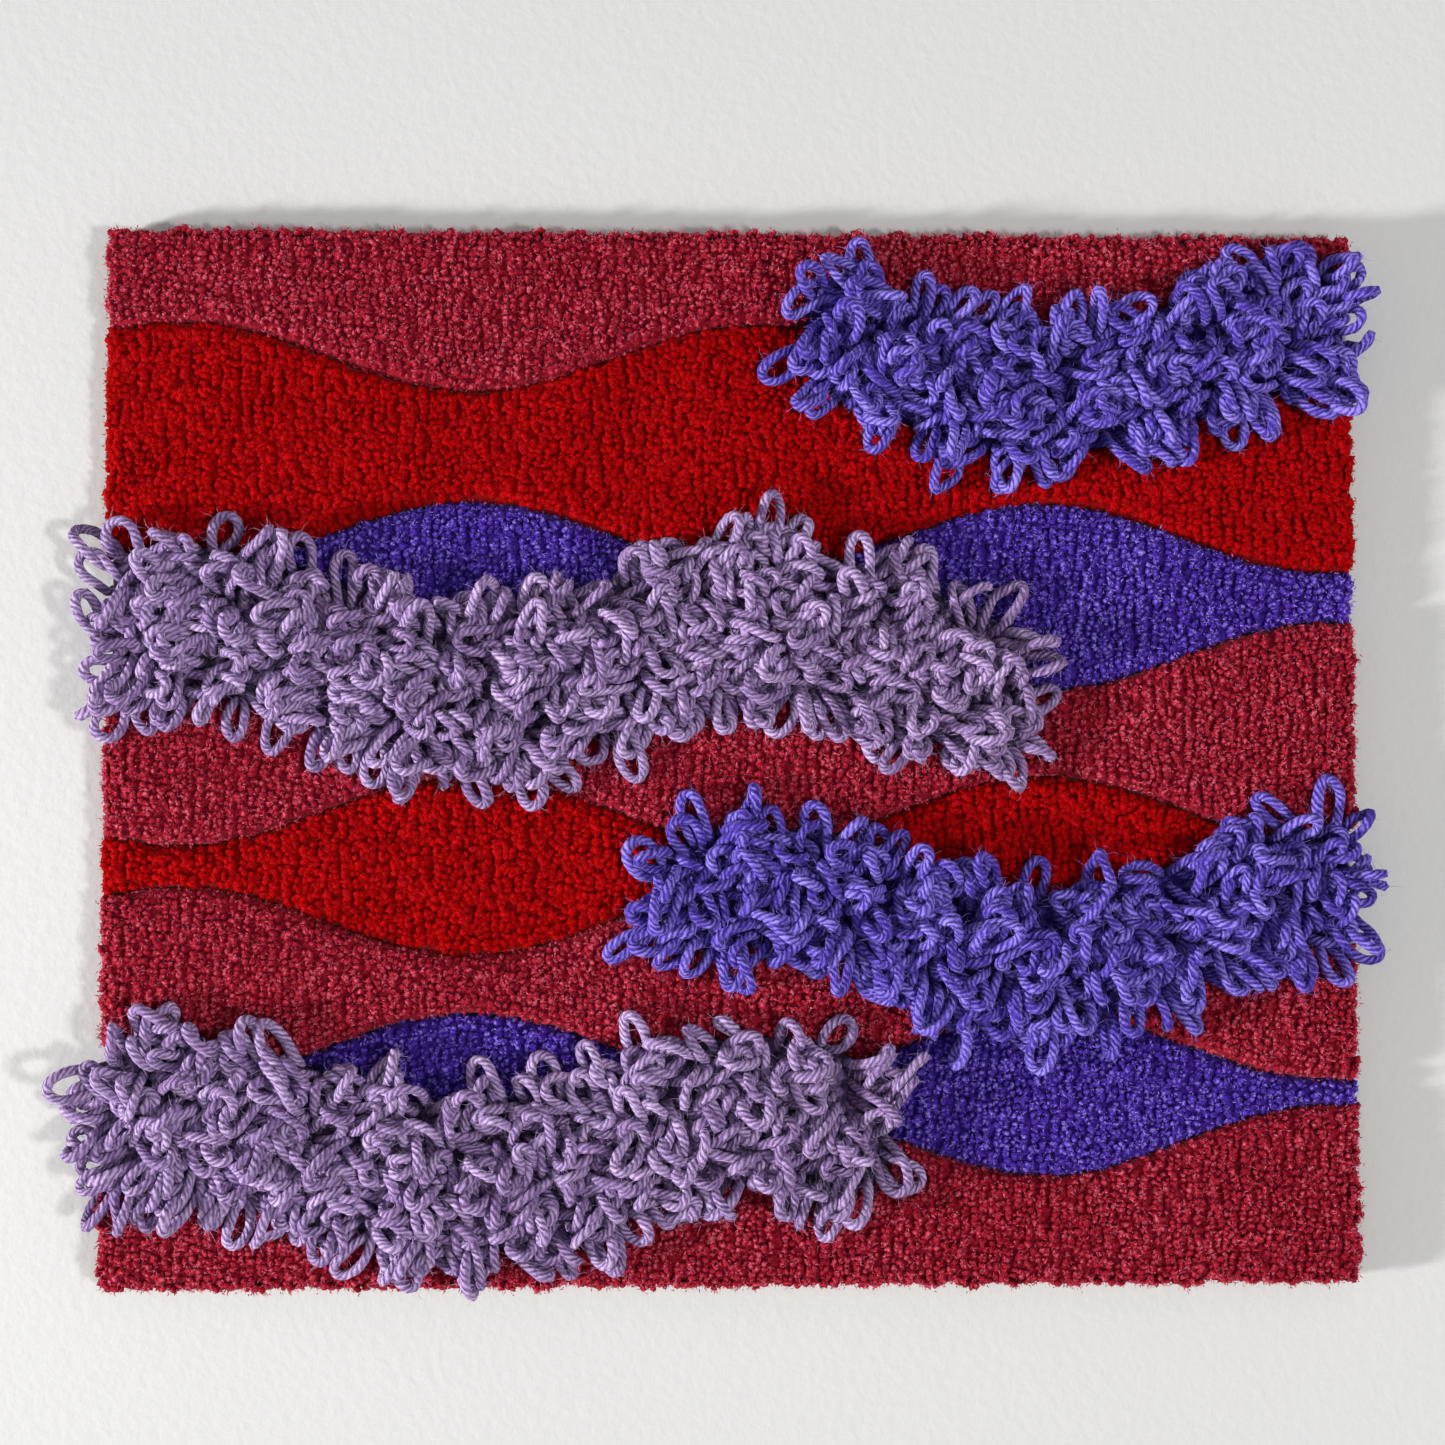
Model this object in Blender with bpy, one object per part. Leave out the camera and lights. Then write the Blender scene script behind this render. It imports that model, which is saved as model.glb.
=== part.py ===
"""Tufted wall hanging: a backing cloth, zones of cut pile and raised bands of long yarn loops.

Metres, +Z up. The hanging faces -Y and its back is the plane y = 0. The origin is on that back,
in the middle of the cloth's top edge. X runs across the hanging, left to right seen from the front.

Parallel and opposed waves, the seams, cross the hanging from side to side and divide it into
zones of cut pile. Four of the seams carry a band of loops: its foot fills a pocket between the
zones, and its crown of loops spreads over them and past the side edges.
"""

import math
from collections import namedtuple

import bmesh
import bpy

OBJECT_NAME = "tufted_wall_hanging"

# Over the cut pile, and the cloth that carries it.
WIDTH = 0.500
HEIGHT = 0.420
EDGE_LEAN = 0.003            # the pile leans out past the cloth's edge by this much
CLOTH_THICKNESS = 0.002
CLOTH_EDGE_WAVE = 0.0006     # how uneven the cloth's cut edge is
CLEARANCE = 0.0003           # between pieces that touch on the real hanging
SEAM_CLEARANCE = 0.00035     # the same, measured up the hanging on a slanting seam

# The waves.
WAVE_LENGTH = 0.230
WAVE_HEIGHT = 0.014
WAVE_START = 0.42 * math.pi  # phase at the hanging's middle

# Cut pile: how far its front stands from the back plane, for each yarn.
PILE_FRONT = {"raspberry": 0.0132, "red": 0.0118, "violet": 0.0114}
SHOULDER_WIDTH = 0.0045      # the rounding carved along each zone's border
SHOULDER_DROP = 0.0042
NARROWEST_ZONE = 0.003       # a zone ends in a tip where it gets this narrow
PILE_EDGE_WAVE = 0.0009      # how uneven the pile's outer edge is
PILE_FRONT_WAVE = 0.0003     # how uneven its front is

# Loops.
LOOP_FRONT = 0.030           # front of the loop crowns, from the back plane
CROWN_UNDER = 0.0143         # back of the crowns, clear of the cut pile under them
CROWN_UNDER_PAST_EDGE = 0.006
CROWN_OVERHANG = 0.009       # past the foot, over the cut pile
BLUNT_END = 0.35             # a foot's width where it ends, as a share of its full width
CROWN_LUMP = 0.0026          # how uneven the crown's edge is
CROWN_RIDGE_WAVE = 0.0008    # how uneven its front is
CROWN_END_ROUNDING = 0.016   # how far from its ends the crown reaches its full depth
CROWN_TIP = 0.003            # distance from a crown's end to its next cross-section
LEFT_OVERHANG = 0.018        # past the hanging's side edges
RIGHT_OVERHANG = 0.013

STATION_STEP = 0.020         # distance between cross-sections along the hanging
END_WALL = 0.0001            # the foot's end walls rise within this length
END_ROUNDING = 0.004         # distance from a foot's end to the first cross-section in its run
PAST_EDGE_STATIONS = (CLEARANCE, 0.0015, 0.008)  # a crown's cross-sections past the side edges
TINY = 1e-6

LEFT = -WIDTH / 2
RIGHT = WIDTH / 2
TOP = EDGE_LEAN
BOTTOM = TOP - HEIGHT
PILE_BACK = CLOTH_THICKNESS + CLEARANCE

# depth: from the pile's top edge to the seam's middle line. swing: +1 or -1, so seams of unlike
# swing part and meet again, and seams of like swing run side by side.
Seam = namedtuple("Seam", "depth swing")
SEAMS = (
    Seam(0.050, +1),
    Seam(0.122, -1),
    Seam(0.170, +1),
    Seam(0.232, -1),
    Seam(0.276, +1),
    Seam(0.326, -1),
    Seam(0.364, +1),
)

# The zones' yarns, from the top zone down: one more zone than there are seams.
ZONE_YARNS = ("raspberry", "red", "violet", "raspberry", "red", "raspberry", "violet", "raspberry")

# seam: index of the seam that the band lies on. start, end: of its crown, along X.
# half_width: of its crown, from the seam up or down.
Band = namedtuple("Band", "name yarn seam start end half_width")
BANDS = (
    Band("violet_loops_1", "violet_loop", 0, 0.020, RIGHT + RIGHT_OVERHANG, 0.033),
    Band("lilac_loops_1", "lilac_loop", 2, LEFT - LEFT_OVERHANG, 0.125, 0.038),
    Band("violet_loops_2", "violet_loop", 4, -0.040, RIGHT + RIGHT_OVERHANG, 0.032),
    Band("lilac_loops_2", "lilac_loop", 6, LEFT - LEFT_OVERHANG, 0.070, 0.037),
)

# A crown's cross-section, from its back rim round to its front: shares of its depth and half width.
CrownPoint = namedtuple("CrownPoint", "depth width")
CROWN_PROFILE = (
    CrownPoint(0.06, 0.88),
    CrownPoint(0.45, 1.00),
    CrownPoint(0.86, 0.70),
)

# Colour (linear RGB) and roughness of each yarn and of the cloth.
Finish = namedtuple("Finish", "color roughness")
FINISHES = {
    "cloth": Finish((0.62, 0.58, 0.52), 0.95),
    "raspberry": Finish((0.40, 0.035, 0.055), 0.92),
    "red": Finish((0.55, 0.004, 0.006), 0.90),
    "violet": Finish((0.075, 0.025, 0.34), 0.90),
    "lilac_loop": Finish((0.36, 0.24, 0.54), 0.88),
    "violet_loop": Finish((0.11, 0.065, 0.42), 0.88),
}


# ---------------------------------------------------------------- waves, pockets and zones

def wave(x, length, start):
    """A plain sine along X, from -1 to 1."""
    return math.sin(2 * math.pi * x / length + start)


def seam_height(seam, x):
    """Z of a seam's line at x."""
    return TOP - seam.depth + seam.swing * WAVE_HEIGHT * wave(x, WAVE_LENGTH, WAVE_START)


def round_end(distance, radius):
    """How wide a round-ended strip is at this distance from its end: 0 to 1 of its full width."""
    if distance >= radius:
        return 1.0
    return math.sqrt(max(0.0, 1.0 - (1.0 - max(0.0, distance) / radius) ** 2))


def foot_range(band):
    """Where a band's foot starts and ends along X: inside the crown, and on the cloth."""
    start = max(band.start + CROWN_OVERHANG, LEFT + EDGE_LEAN)
    end = min(band.end - CROWN_OVERHANG, RIGHT - EDGE_LEAN)
    return start, end


def strip_half_width(band, x, start, end, half_width):
    """Half the width at x of a strip with a blunt, round end where the band ends on the hanging."""
    width = half_width
    if band.start > LEFT:
        width *= BLUNT_END + (1.0 - BLUNT_END) * round_end(x - start, half_width)
    if band.end < RIGHT:
        width *= BLUNT_END + (1.0 - BLUNT_END) * round_end(end - x, half_width)
    return width


def foot_half_width(band, x):
    """Half the foot's width at x; past the foot's ends, its half width at that end."""
    start, end = foot_range(band)
    inside = min(max(x, start), end)
    return strip_half_width(band, inside, start, end, band.half_width - CROWN_OVERHANG)


def pocket_half_width(band, x):
    """Half the width at x of the pocket that the cut pile leaves for a band's foot."""
    start, end = foot_range(band)
    start -= CLEARANCE
    end += CLEARANCE
    past_start = band.start > LEFT and x < start - TINY
    past_end = band.end < RIGHT and x > end + TINY
    if past_start or past_end:
        return 0.0
    full = band.half_width - CROWN_OVERHANG + SEAM_CLEARANCE
    return strip_half_width(band, x, start, end, full)


def reach(index, x):
    """How far the pocket on a seam reaches to each side of the seam at x."""
    widths = [pocket_half_width(band, x) for band in BANDS if band.seam == index]
    return max(widths, default=0.0)


def pile_edge(z, x, outward):
    """The pile's uneven top or bottom edge; outward is +1 at the top and -1 at the bottom."""
    unevenness = 0.6 * wave(x, 0.083, 0.4) + 0.4 * wave(x, 0.037, 1.9)
    return z - outward * PILE_EDGE_WAVE * (1.0 + unevenness) / 2


def zone_top(zone, x):
    """Z of a zone's upper border at x, under every seam and pocket above the zone."""
    if zone == 0:
        return pile_edge(TOP, x, +1)
    return min(seam_height(SEAMS[i], x) - reach(i, x) for i in range(zone)) - SEAM_CLEARANCE / 2


def zone_bottom(zone, x):
    """Z of a zone's lower border at x, over every seam and pocket below the zone."""
    if zone == len(SEAMS):
        return pile_edge(BOTTOM, x, -1)
    below = range(zone, len(SEAMS))
    return max(seam_height(SEAMS[i], x) + reach(i, x) for i in below) + SEAM_CLEARANCE / 2


def zone_width(zone, x):
    return zone_top(zone, x) - zone_bottom(zone, x)


def tip_between(zone, outside, inside):
    """The x between two places at which a zone becomes as wide as the narrowest zone."""
    for _ in range(30):
        middle = (outside + inside) / 2
        if zone_width(zone, middle) > NARROWEST_ZONE:
            inside = middle
        else:
            outside = middle
    return inside


def zone_spans(zone):
    """The stretches of X along which a zone is there: a wave that closes on its neighbour ends it."""
    steps = 500
    places = [LEFT + WIDTH * i / steps for i in range(steps + 1)]
    wide = [zone_width(zone, x) > NARROWEST_ZONE for x in places]
    spans = []
    for i, x in enumerate(places):
        if wide[i] and (i == 0 or not wide[i - 1]):
            start = x if i == 0 else tip_between(zone, places[i - 1], x)
        if wide[i] and (i == steps or not wide[i + 1]):
            end = x if i == steps else tip_between(zone, places[i + 1], x)
            spans.append((start, end))
    return spans


def shared_stations(spans):
    """Every x at which a cross-section is taken, the same for all pieces, so that they keep clear."""
    count = round(WIDTH / STATION_STEP)
    stations = [LEFT + WIDTH * i / count for i in range(count + 1)]
    stations += [LEFT + EDGE_LEAN, RIGHT - EDGE_LEAN]
    for zone_parts in spans:
        for start, end in zone_parts:
            stations += [start, end]
    for band in BANDS:
        start, end = foot_range(band)
        if band.start > LEFT:
            stations += [start - 2 * CLEARANCE, start - CLEARANCE, start, start + END_ROUNDING]
        if band.end < RIGHT:
            stations += [end + 2 * CLEARANCE, end + CLEARANCE, end, end - END_ROUNDING]
    stations = sorted(stations)
    kept = [stations[0]]
    for x in stations[1:]:
        if x - kept[-1] > TINY:
            kept.append(x)
    return kept


# ---------------------------------------------------------------- cross-sections, as (y, z) pairs

def rug_edge_shape(x):
    """How the pile rounds off at the side edges: its front and back, 0 to 1 of the pile's height."""
    distance = min(x - LEFT, RIGHT - x)
    front = 0.72 + 0.28 * round_end(distance, 0.006)
    back = 0.45 * (1.0 - min(1.0, distance / EDGE_LEAN))
    return front, back


def pile_section(zone, x):
    """Cross-section of a zone of cut pile: straight sides, and a shoulder along each border."""
    top = zone_top(zone, x)
    bottom = zone_bottom(zone, x)
    height = PILE_FRONT[ZONE_YARNS[zone]] - PILE_BACK
    height += PILE_FRONT_WAVE * wave(x, 0.067, 0.9 + zone)
    front_share, back_share = rug_edge_shape(x)
    front = PILE_BACK + height * front_share
    back = PILE_BACK + height * back_share
    shoulder = min(SHOULDER_WIDTH, 0.42 * (top - bottom))
    drop = min(SHOULDER_DROP, 0.6 * (front - back))
    round_off = 1.0 - math.sqrt(0.5)
    top_lean = EDGE_LEAN if zone == 0 else 0.0
    bottom_lean = EDGE_LEAN if zone == len(SEAMS) else 0.0
    return [
        (-back, top - top_lean),
        (-(front - drop), top),
        (-(front - drop * round_off), top - shoulder * round_off),
        (-front, top - shoulder),
        (-front, bottom + shoulder),
        (-(front - drop * round_off), bottom + shoulder * round_off),
        (-(front - drop), bottom),
        (-back, bottom + bottom_lean),
    ]


def crown_end_share(band, x):
    """How full the crown is at x: 1 in its run, less where it rounds off at its ends."""
    distance = min(x - band.start, band.end - x)
    return 0.35 + 0.65 * round_end(distance, CROWN_END_ROUNDING)


def crown_half_width(band, x, side):
    """The crown's uneven half width at x, above (+1) or below (-1) its seam."""
    on_rug = 0.3
    past_edge = 0.75
    start_share = on_rug if band.start > LEFT else past_edge
    end_share = on_rug if band.end < RIGHT else past_edge
    width = band.half_width
    width *= start_share + (1.0 - start_share) * round_end(x - band.start, band.half_width)
    width *= end_share + (1.0 - end_share) * round_end(band.end - x, band.half_width)
    lump = 0.6 * wave(x, 0.061, side + band.seam) + 0.4 * wave(x, 0.043, 2.0 * side + band.seam)
    return width + CROWN_LUMP * lump * width / band.half_width


def crown_side(band, x, side, foot_back, under, depth):
    """One side of a band's cross-section, from the foot out round the crown."""
    middle = seam_height(SEAMS[band.seam], x)
    foot = middle + side * foot_half_width(band, x)
    width = side * crown_half_width(band, x, side)
    crown = [(-(under + point.depth * depth), middle + point.width * width) for point in CROWN_PROFILE]
    return [(-foot_back, foot), (-under, foot)] + crown


def band_section(band, x):
    """Cross-section of a band of loops: a foot between the zones, and a crown that spreads."""
    start, end = foot_range(band)
    under = CROWN_UNDER
    if max(LEFT - x, x - RIGHT) > EDGE_LEAN / 3:
        under = CROWN_UNDER_PAST_EDGE
    foot_back = PILE_BACK
    if not start - TINY <= x <= end + TINY:
        foot_back = under - CLEARANCE
    depth = (LOOP_FRONT - under) * crown_end_share(band, x)
    upper = crown_side(band, x, +1, foot_back, under, depth)
    lower = crown_side(band, x, -1, foot_back, under, depth)
    ridge = under + depth + CROWN_RIDGE_WAVE * wave(x, 0.053, band.seam)
    return upper + [(-ridge, seam_height(SEAMS[band.seam], x))] + lower[::-1]


def band_stations(band, stations):
    """The shared cross-sections that lie on a band, and its own past the cloth and at its ends."""
    foot_start, foot_end = foot_range(band)
    own = [x for x in stations if foot_start - TINY <= x <= foot_end + TINY]
    own += [band.start, band.start + CROWN_TIP, foot_start - END_WALL]
    own += [foot_end + END_WALL, band.end - CROWN_TIP, band.end]
    if band.start < LEFT:
        own += [LEFT - distance for distance in PAST_EDGE_STATIONS]
    if band.end > RIGHT:
        own += [RIGHT + distance for distance in PAST_EDGE_STATIONS]
    return sorted(own)


# ---------------------------------------------------------------- solids

def make_material(name, finish):
    material = bpy.data.materials.new(name)
    material.use_nodes = True
    shader = material.node_tree.nodes["Principled BSDF"]
    shader.inputs["Base Color"].default_value = (*finish.color, 1.0)
    shader.inputs["Roughness"].default_value = finish.roughness
    shader.inputs["Metallic"].default_value = 0.0
    return material


def loft(name, sections, collection, finish):
    """A closed solid through (x, points) cross-sections with the same number of points each."""
    shape = bmesh.new()
    rings = [[shape.verts.new((x, y, z)) for y, z in points] for x, points in sections]
    for ring, following in zip(rings, rings[1:]):
        for i in range(len(ring)):
            j = (i + 1) % len(ring)
            shape.faces.new((ring[i], ring[j], following[j], following[i]))
    shape.faces.new(rings[0])
    shape.faces.new(rings[-1])
    bmesh.ops.triangulate(shape, faces=shape.faces[:])
    bmesh.ops.recalc_face_normals(shape, faces=shape.faces[:])
    mesh = bpy.data.meshes.new(name)
    shape.to_mesh(mesh)
    shape.free()
    mesh.materials.append(make_material(name, finish))
    solid = bpy.data.objects.new(name, mesh)
    collection.objects.link(solid)
    return solid


def cloth_outline():
    """The cloth's edge, a rectangle cut a little unevenly, as (x, z) points."""
    half = WIDTH / 2 - EDGE_LEAN
    bottom = BOTTOM + EDGE_LEAN
    count = 16
    shares = [i / count for i in range(count)]

    def uneven(share, start):
        return CLOTH_EDGE_WAVE * math.sin(6 * math.pi * share + start) * math.sin(math.pi * share)

    top_edge = [(-half + 2 * half * s, uneven(s, 0.0)) for s in shares]
    right_edge = [(half + uneven(s, 1.0), bottom * s) for s in shares]
    bottom_edge = [(half - 2 * half * s, bottom + uneven(s, 2.0)) for s in shares]
    left_edge = [(-half + uneven(s, 3.0), bottom * (1 - s)) for s in shares]
    return top_edge + right_edge + bottom_edge + left_edge


def make_backing_cloth(collection):
    """The flat cloth that every tuft and loop is stitched into: its back is the plane y = 0."""
    curve = bpy.data.curves.new("backing_cloth", "CURVE")
    curve.dimensions = "2D"
    curve.fill_mode = "BOTH"
    curve.extrude = CLOTH_THICKNESS / 2
    outline = cloth_outline()
    spline = curve.splines.new("POLY")
    spline.points.add(len(outline) - 1)
    for point, (x, z) in zip(spline.points, outline):
        point.co = (x, z, 0.0, 1.0)
    spline.use_cyclic_u = True
    curve.materials.append(make_material("backing_cloth", FINISHES["cloth"]))
    cloth = bpy.data.objects.new("backing_cloth", curve)
    cloth.location = (0.0, -CLOTH_THICKNESS / 2, 0.0)
    cloth.rotation_euler = (math.pi / 2, 0.0, 0.0)
    collection.objects.link(cloth)


def make_cut_pile(collection, spans, stations):
    """One solid for each stretch of each zone, numbered from the top for each yarn."""
    made = {}
    for zone, yarn in enumerate(ZONE_YARNS):
        for start, end in spans[zone]:
            made[yarn] = made.get(yarn, 0) + 1
            own = [x for x in stations if start - TINY <= x <= end + TINY]
            sections = [(x, pile_section(zone, x)) for x in own]
            loft(f"{yarn}_pile_{made[yarn]}", sections, collection, FINISHES[yarn])


def make_loop_bands(collection, stations):
    for band in BANDS:
        sections = [(x, band_section(band, x)) for x in band_stations(band, stations)]
        loft(band.name, sections, collection, FINISHES[band.yarn])


def main():
    for old in list(bpy.data.objects):
        bpy.data.objects.remove(old, do_unlink=True)
    collection = bpy.data.collections.new(OBJECT_NAME)
    bpy.context.scene.collection.children.link(collection)
    spans = [zone_spans(zone) for zone in range(len(ZONE_YARNS))]
    stations = shared_stations(spans)
    make_backing_cloth(collection)
    make_cut_pile(collection, spans, stations)
    make_loop_bands(collection, stations)


main()
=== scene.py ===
import itertools
import math

import bmesh
import bpy
import numpy as np
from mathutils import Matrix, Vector
from mathutils.bvhtree import BVHTree


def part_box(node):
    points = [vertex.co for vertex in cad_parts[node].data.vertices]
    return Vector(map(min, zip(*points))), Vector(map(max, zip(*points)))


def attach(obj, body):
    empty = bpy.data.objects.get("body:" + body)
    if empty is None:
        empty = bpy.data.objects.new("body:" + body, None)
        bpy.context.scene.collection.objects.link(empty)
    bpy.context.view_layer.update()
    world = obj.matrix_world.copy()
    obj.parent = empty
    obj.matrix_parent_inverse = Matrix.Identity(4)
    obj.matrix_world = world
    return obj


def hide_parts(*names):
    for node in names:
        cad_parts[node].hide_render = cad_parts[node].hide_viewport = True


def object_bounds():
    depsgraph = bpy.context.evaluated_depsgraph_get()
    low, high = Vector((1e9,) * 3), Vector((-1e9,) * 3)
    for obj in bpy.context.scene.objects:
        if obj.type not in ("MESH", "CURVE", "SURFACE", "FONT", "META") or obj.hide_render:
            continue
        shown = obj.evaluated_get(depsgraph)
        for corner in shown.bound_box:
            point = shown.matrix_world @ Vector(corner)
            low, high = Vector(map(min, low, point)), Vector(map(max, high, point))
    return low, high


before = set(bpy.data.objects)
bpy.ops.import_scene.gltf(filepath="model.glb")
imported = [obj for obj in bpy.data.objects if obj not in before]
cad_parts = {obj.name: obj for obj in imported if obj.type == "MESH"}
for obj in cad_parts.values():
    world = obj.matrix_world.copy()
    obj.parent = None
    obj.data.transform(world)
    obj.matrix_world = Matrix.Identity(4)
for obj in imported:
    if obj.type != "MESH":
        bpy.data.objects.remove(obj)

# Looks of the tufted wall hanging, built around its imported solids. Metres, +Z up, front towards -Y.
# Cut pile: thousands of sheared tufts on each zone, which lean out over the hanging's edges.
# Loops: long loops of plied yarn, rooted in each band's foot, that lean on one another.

CAD_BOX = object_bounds()

PILE_YARNS = ("raspberry", "red", "violet")
LOOP_YARNS = ("lilac", "violet")

# ---- cut pile ----
ROW_STEP = 0.0024          # between the rows of tufts, which run up the hanging
TUFT_STEP = 0.0022         # between the tufts of a row
ROW_PROBE = 0.0006         # between the lines that find where a row meets a zone
CLUMPING = 0.0007          # how far tufts gather into clumps along a row
ROW_PARTING = 0.0010       # how far rows draw together and part
CLUMP_SIZE = 0.008
TUFT_SCATTER = 0.00036
BRUSHING = 0.20            # how strongly tufts lean together, patch by patch
BRUSHED_PATCH = 0.032
TUFT_RADIUS = 0.00145
TUFT_SIDES = 6
TUFT_DEPTH = 0.0028        # from a tuft's tip to the point where its sides meet
SHEARING = (0.0002, 0.00045)  # how far tips stand past the solid: mean and spread
BED_INSET = 0.0014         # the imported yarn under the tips
EDGE_LEAN_WIDTH = 0.006    # tufts this near to the hanging's edge lean outwards
SEAM_INSET = 0.0003        # from a seam to the middle of the last tuft of a row
SEAM_DROP = 0.0010         # how much lower than the solid the tips lie at a seam
SEAM_WIDTH = 0.0034        # how far from a seam the tips lie lower
RIM_MARGIN = 0.004         # a zone that comes this near to the hanging's edge has a rim
RIM_STEP = 0.0020          # between the tufts that splay out of the rim
RIM_LAYERS = (0.26, 0.48, 0.70, 0.92)  # as shares of the pile's height
RIM_INSET = 0.0045         # how far inside the edge the rim's tufts are rooted
RIM_DEPTH = 0.0045
PILE_FIBRES = 4            # loose fibre ends on each tuft
FIBRE_WIDTH = 0.00060
FIBRE_LENGTHS = (0.0009, 0.0021)
# How each yarn's tufts differ: how far they spread into one another, how unevenly and how round they
# are sheared, how fast painted shade darkens them from tip to foot, and how strongly their fibres stand
# out.
TUFT_WIDTH = {"raspberry": 1.0, "red": 1.2, "violet": 1.0}
TUFT_LIFT = {"raspberry": 1.0, "red": 0.55, "violet": 0.9}
TUFT_DOME = {"raspberry": 1.0, "red": 0.65, "violet": 0.9}
TUFT_PAINTED_SHADE = {"raspberry": 1.4, "red": 0.8, "violet": 1.2}
TUFT_GRAIN = {"raspberry": 0.8, "red": 0.5, "violet": 0.7}
RED_GLOW = 0.6             # share of the light that passes into the plush red yarn
RED_GLOW_DEPTH = 0.0020
RED_GLOW_COLOR = (1.0, 0.2, 0.2)

# ---- loops ----
YARN_RADIUS = 0.00208      # to the corners of its five sides, so about 3.9 mm thick
YARN_SIDES = 5
YARN_PLIES = 4
PLY_PITCH = 0.0107         # length of yarn in which a ply turns once
LOOP_SPACING = 0.0066      # between the roots of neighbouring loops
LOOP_HEIGHT = (0.0255, 0.0036)  # mean and spread
LOOP_WIDTH = (0.0068, 0.0012)
LOOP_POINTS = 24           # along each loop while it settles
SPINE_STEPS = 40           # along the curve that a loop starts from
TUBE_RINGS = 26
BASE_DEPTH = 0.003         # what lies nearer to the wall is a solid's base
FOOT_FRONT = 0.0092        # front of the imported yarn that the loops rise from
FOOT_INSET = 0.0028        # how far that yarn stays inside the hanging's edges
ROOT_INSET = 0.0010        # how far inside the foot's outline loops are rooted
ROOT_DEPTH = 0.0078
PAINTED_ROOT_SHADE = 0.0075        # painted shade: how far out from its roots the yarn is painted darker, as if its neighbours shaded it
LEG_SPLIT = 0.0018         # from the middle of a loop's root to each of its legs
BORDER_REACH = 0.0075      # how far from a foot's border loops are pushed outwards
CONTACT = 0.0036           # how near two yarns' middle lines may come
SETTLE_STEPS = 140
SETTLE_SAG = 0.000012      # how far loops sink down, and towards the wall, in a step
LARGEST_PUSH = 0.0010
PAST_FRONT = 0.0015        # how far past the solids' box settling loops may reach
PAST_SIDES = 0.003
KINK_PASSES = 2            # rounds of smoothing that ease the kinks left by settling
TAIL_SHARE = 0.025         # loops that are cut, and end in a straight tail
LOOP_FUZZ = 30             # loose hairs on each loop
HAIR_WIDTH = 0.00010
HAIR_LENGTHS = (0.0012, 0.0036)
YARN_PIECES = {"lilac_loops_1": 2}  # a band is built as this many meshes, so that a baked map
USUAL_YARN_PIECES = 4               # can hold its plies: the longest band gets larger maps

# ---- backing cloth ----
CLOTH_THREAD = 0.0022      # the width of two threads
CLOTH_FACES = (60, 50)     # across and up
CLOTH_RAGGED = 0.0007      # how far the cut edge wanders


# ==== small helpers ====

def smooth_field(seed, length, waves=14):
    """A smooth random function of (x, z), about -1 to 1, whose features are this long."""
    rng = np.random.default_rng(seed)
    angles = rng.uniform(0, 2 * math.pi, waves)
    numbers = 2 * math.pi / (length * rng.uniform(0.7, 1.6, waves))
    starts = rng.uniform(0, 2 * math.pi, waves)

    def field(x, z):
        along = np.multiply.outer(np.cos(angles) * numbers, x)
        along = along + np.multiply.outer(np.sin(angles) * numbers, z)
        shape = (waves,) + (1,) * np.ndim(x)
        return np.sin(along + starts.reshape(shape)).sum(0) * math.sqrt(2 / waves) * 0.75

    return field


def before_wall(vertices):
    """Keeps yarn in front of the plane that the hanging's back lies on."""
    vertices[:, 1] = np.minimum(vertices[:, 1], -0.0001)
    return vertices


def unit(vectors):
    return vectors / np.maximum(np.linalg.norm(vectors, axis=-1, keepdims=True), 1e-12)


def lengths(vectors):
    """The length of each vector, never quite nothing."""
    return np.linalg.norm(vectors, axis=-1, keepdims=True) + 1e-9


def steady(function, *inputs):
    """A numpy function of flat arrays. Its last digits can depend on whether the result happens to
    lie right behind an input in memory, and settling makes such a difference grow. So the result
    is written with room on both sides of it, and each run gives the same loops."""
    room = 16
    return function(*inputs, out=np.empty(len(inputs[0]) + 2 * room)[room:-room])


def new_piece(name, mesh, material):
    """A smoothly shaded object in the scene."""
    mesh.shade_smooth()
    mesh.materials.append(material)
    piece = bpy.data.objects.new(name, mesh)
    bpy.context.scene.collection.objects.link(piece)
    return piece


def mesh_piece(name, vertices, face_groups, material, values=None, maps=None):
    """A mesh object from arrays. face_groups: vertex indices, one row for each face. values: named
    numbers for the vertices. maps: named UV maps, with a place for every face corner, in order."""
    mesh = bpy.data.meshes.new(name)
    vertices = np.array(vertices, np.float32)
    groups = [np.asarray(group, np.int32) for group in face_groups if len(group)]
    corners = np.concatenate([group.ravel() for group in groups])
    sizes = np.concatenate([np.full(len(group), group.shape[1], np.int32) for group in groups])
    mesh.vertices.add(len(vertices))
    mesh.vertices.foreach_set("co", vertices.ravel())
    mesh.loops.add(len(corners))
    mesh.loops.foreach_set("vertex_index", corners)
    mesh.polygons.add(len(sizes))
    starts = np.concatenate([[0], np.cumsum(sizes)[:-1]]).astype(np.int32)
    mesh.polygons.foreach_set("loop_start", starts)
    mesh.update(calc_edges=True)
    for key, numbers in (values or {}).items():
        attribute = mesh.attributes.new(key, "FLOAT", "POINT")
        attribute.data.foreach_set("value", np.asarray(numbers, np.float32).ravel())
    for key, places in (maps or {}).items():
        layer = mesh.uv_layers.new(name=key)
        layer.data.foreach_set("uv", np.asarray(places, np.float32).ravel())
    return new_piece(name, mesh, material)


def dress(node_name, slot, *pieces):
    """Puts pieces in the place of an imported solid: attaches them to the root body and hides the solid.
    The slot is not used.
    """
    for piece in pieces:
        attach(piece, "root")
        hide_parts(node_name)


def map_cells(count, aspect):
    """Equal cells, this much higher than wide, that fill a UV map: their corners and their size."""
    columns = math.ceil(math.sqrt(count * aspect))
    rows = math.ceil(count / columns)
    number = np.arange(count)
    size = np.array([1 / columns, 1 / rows])
    return np.stack([number % columns, number // columns], -1) * size, size


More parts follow.
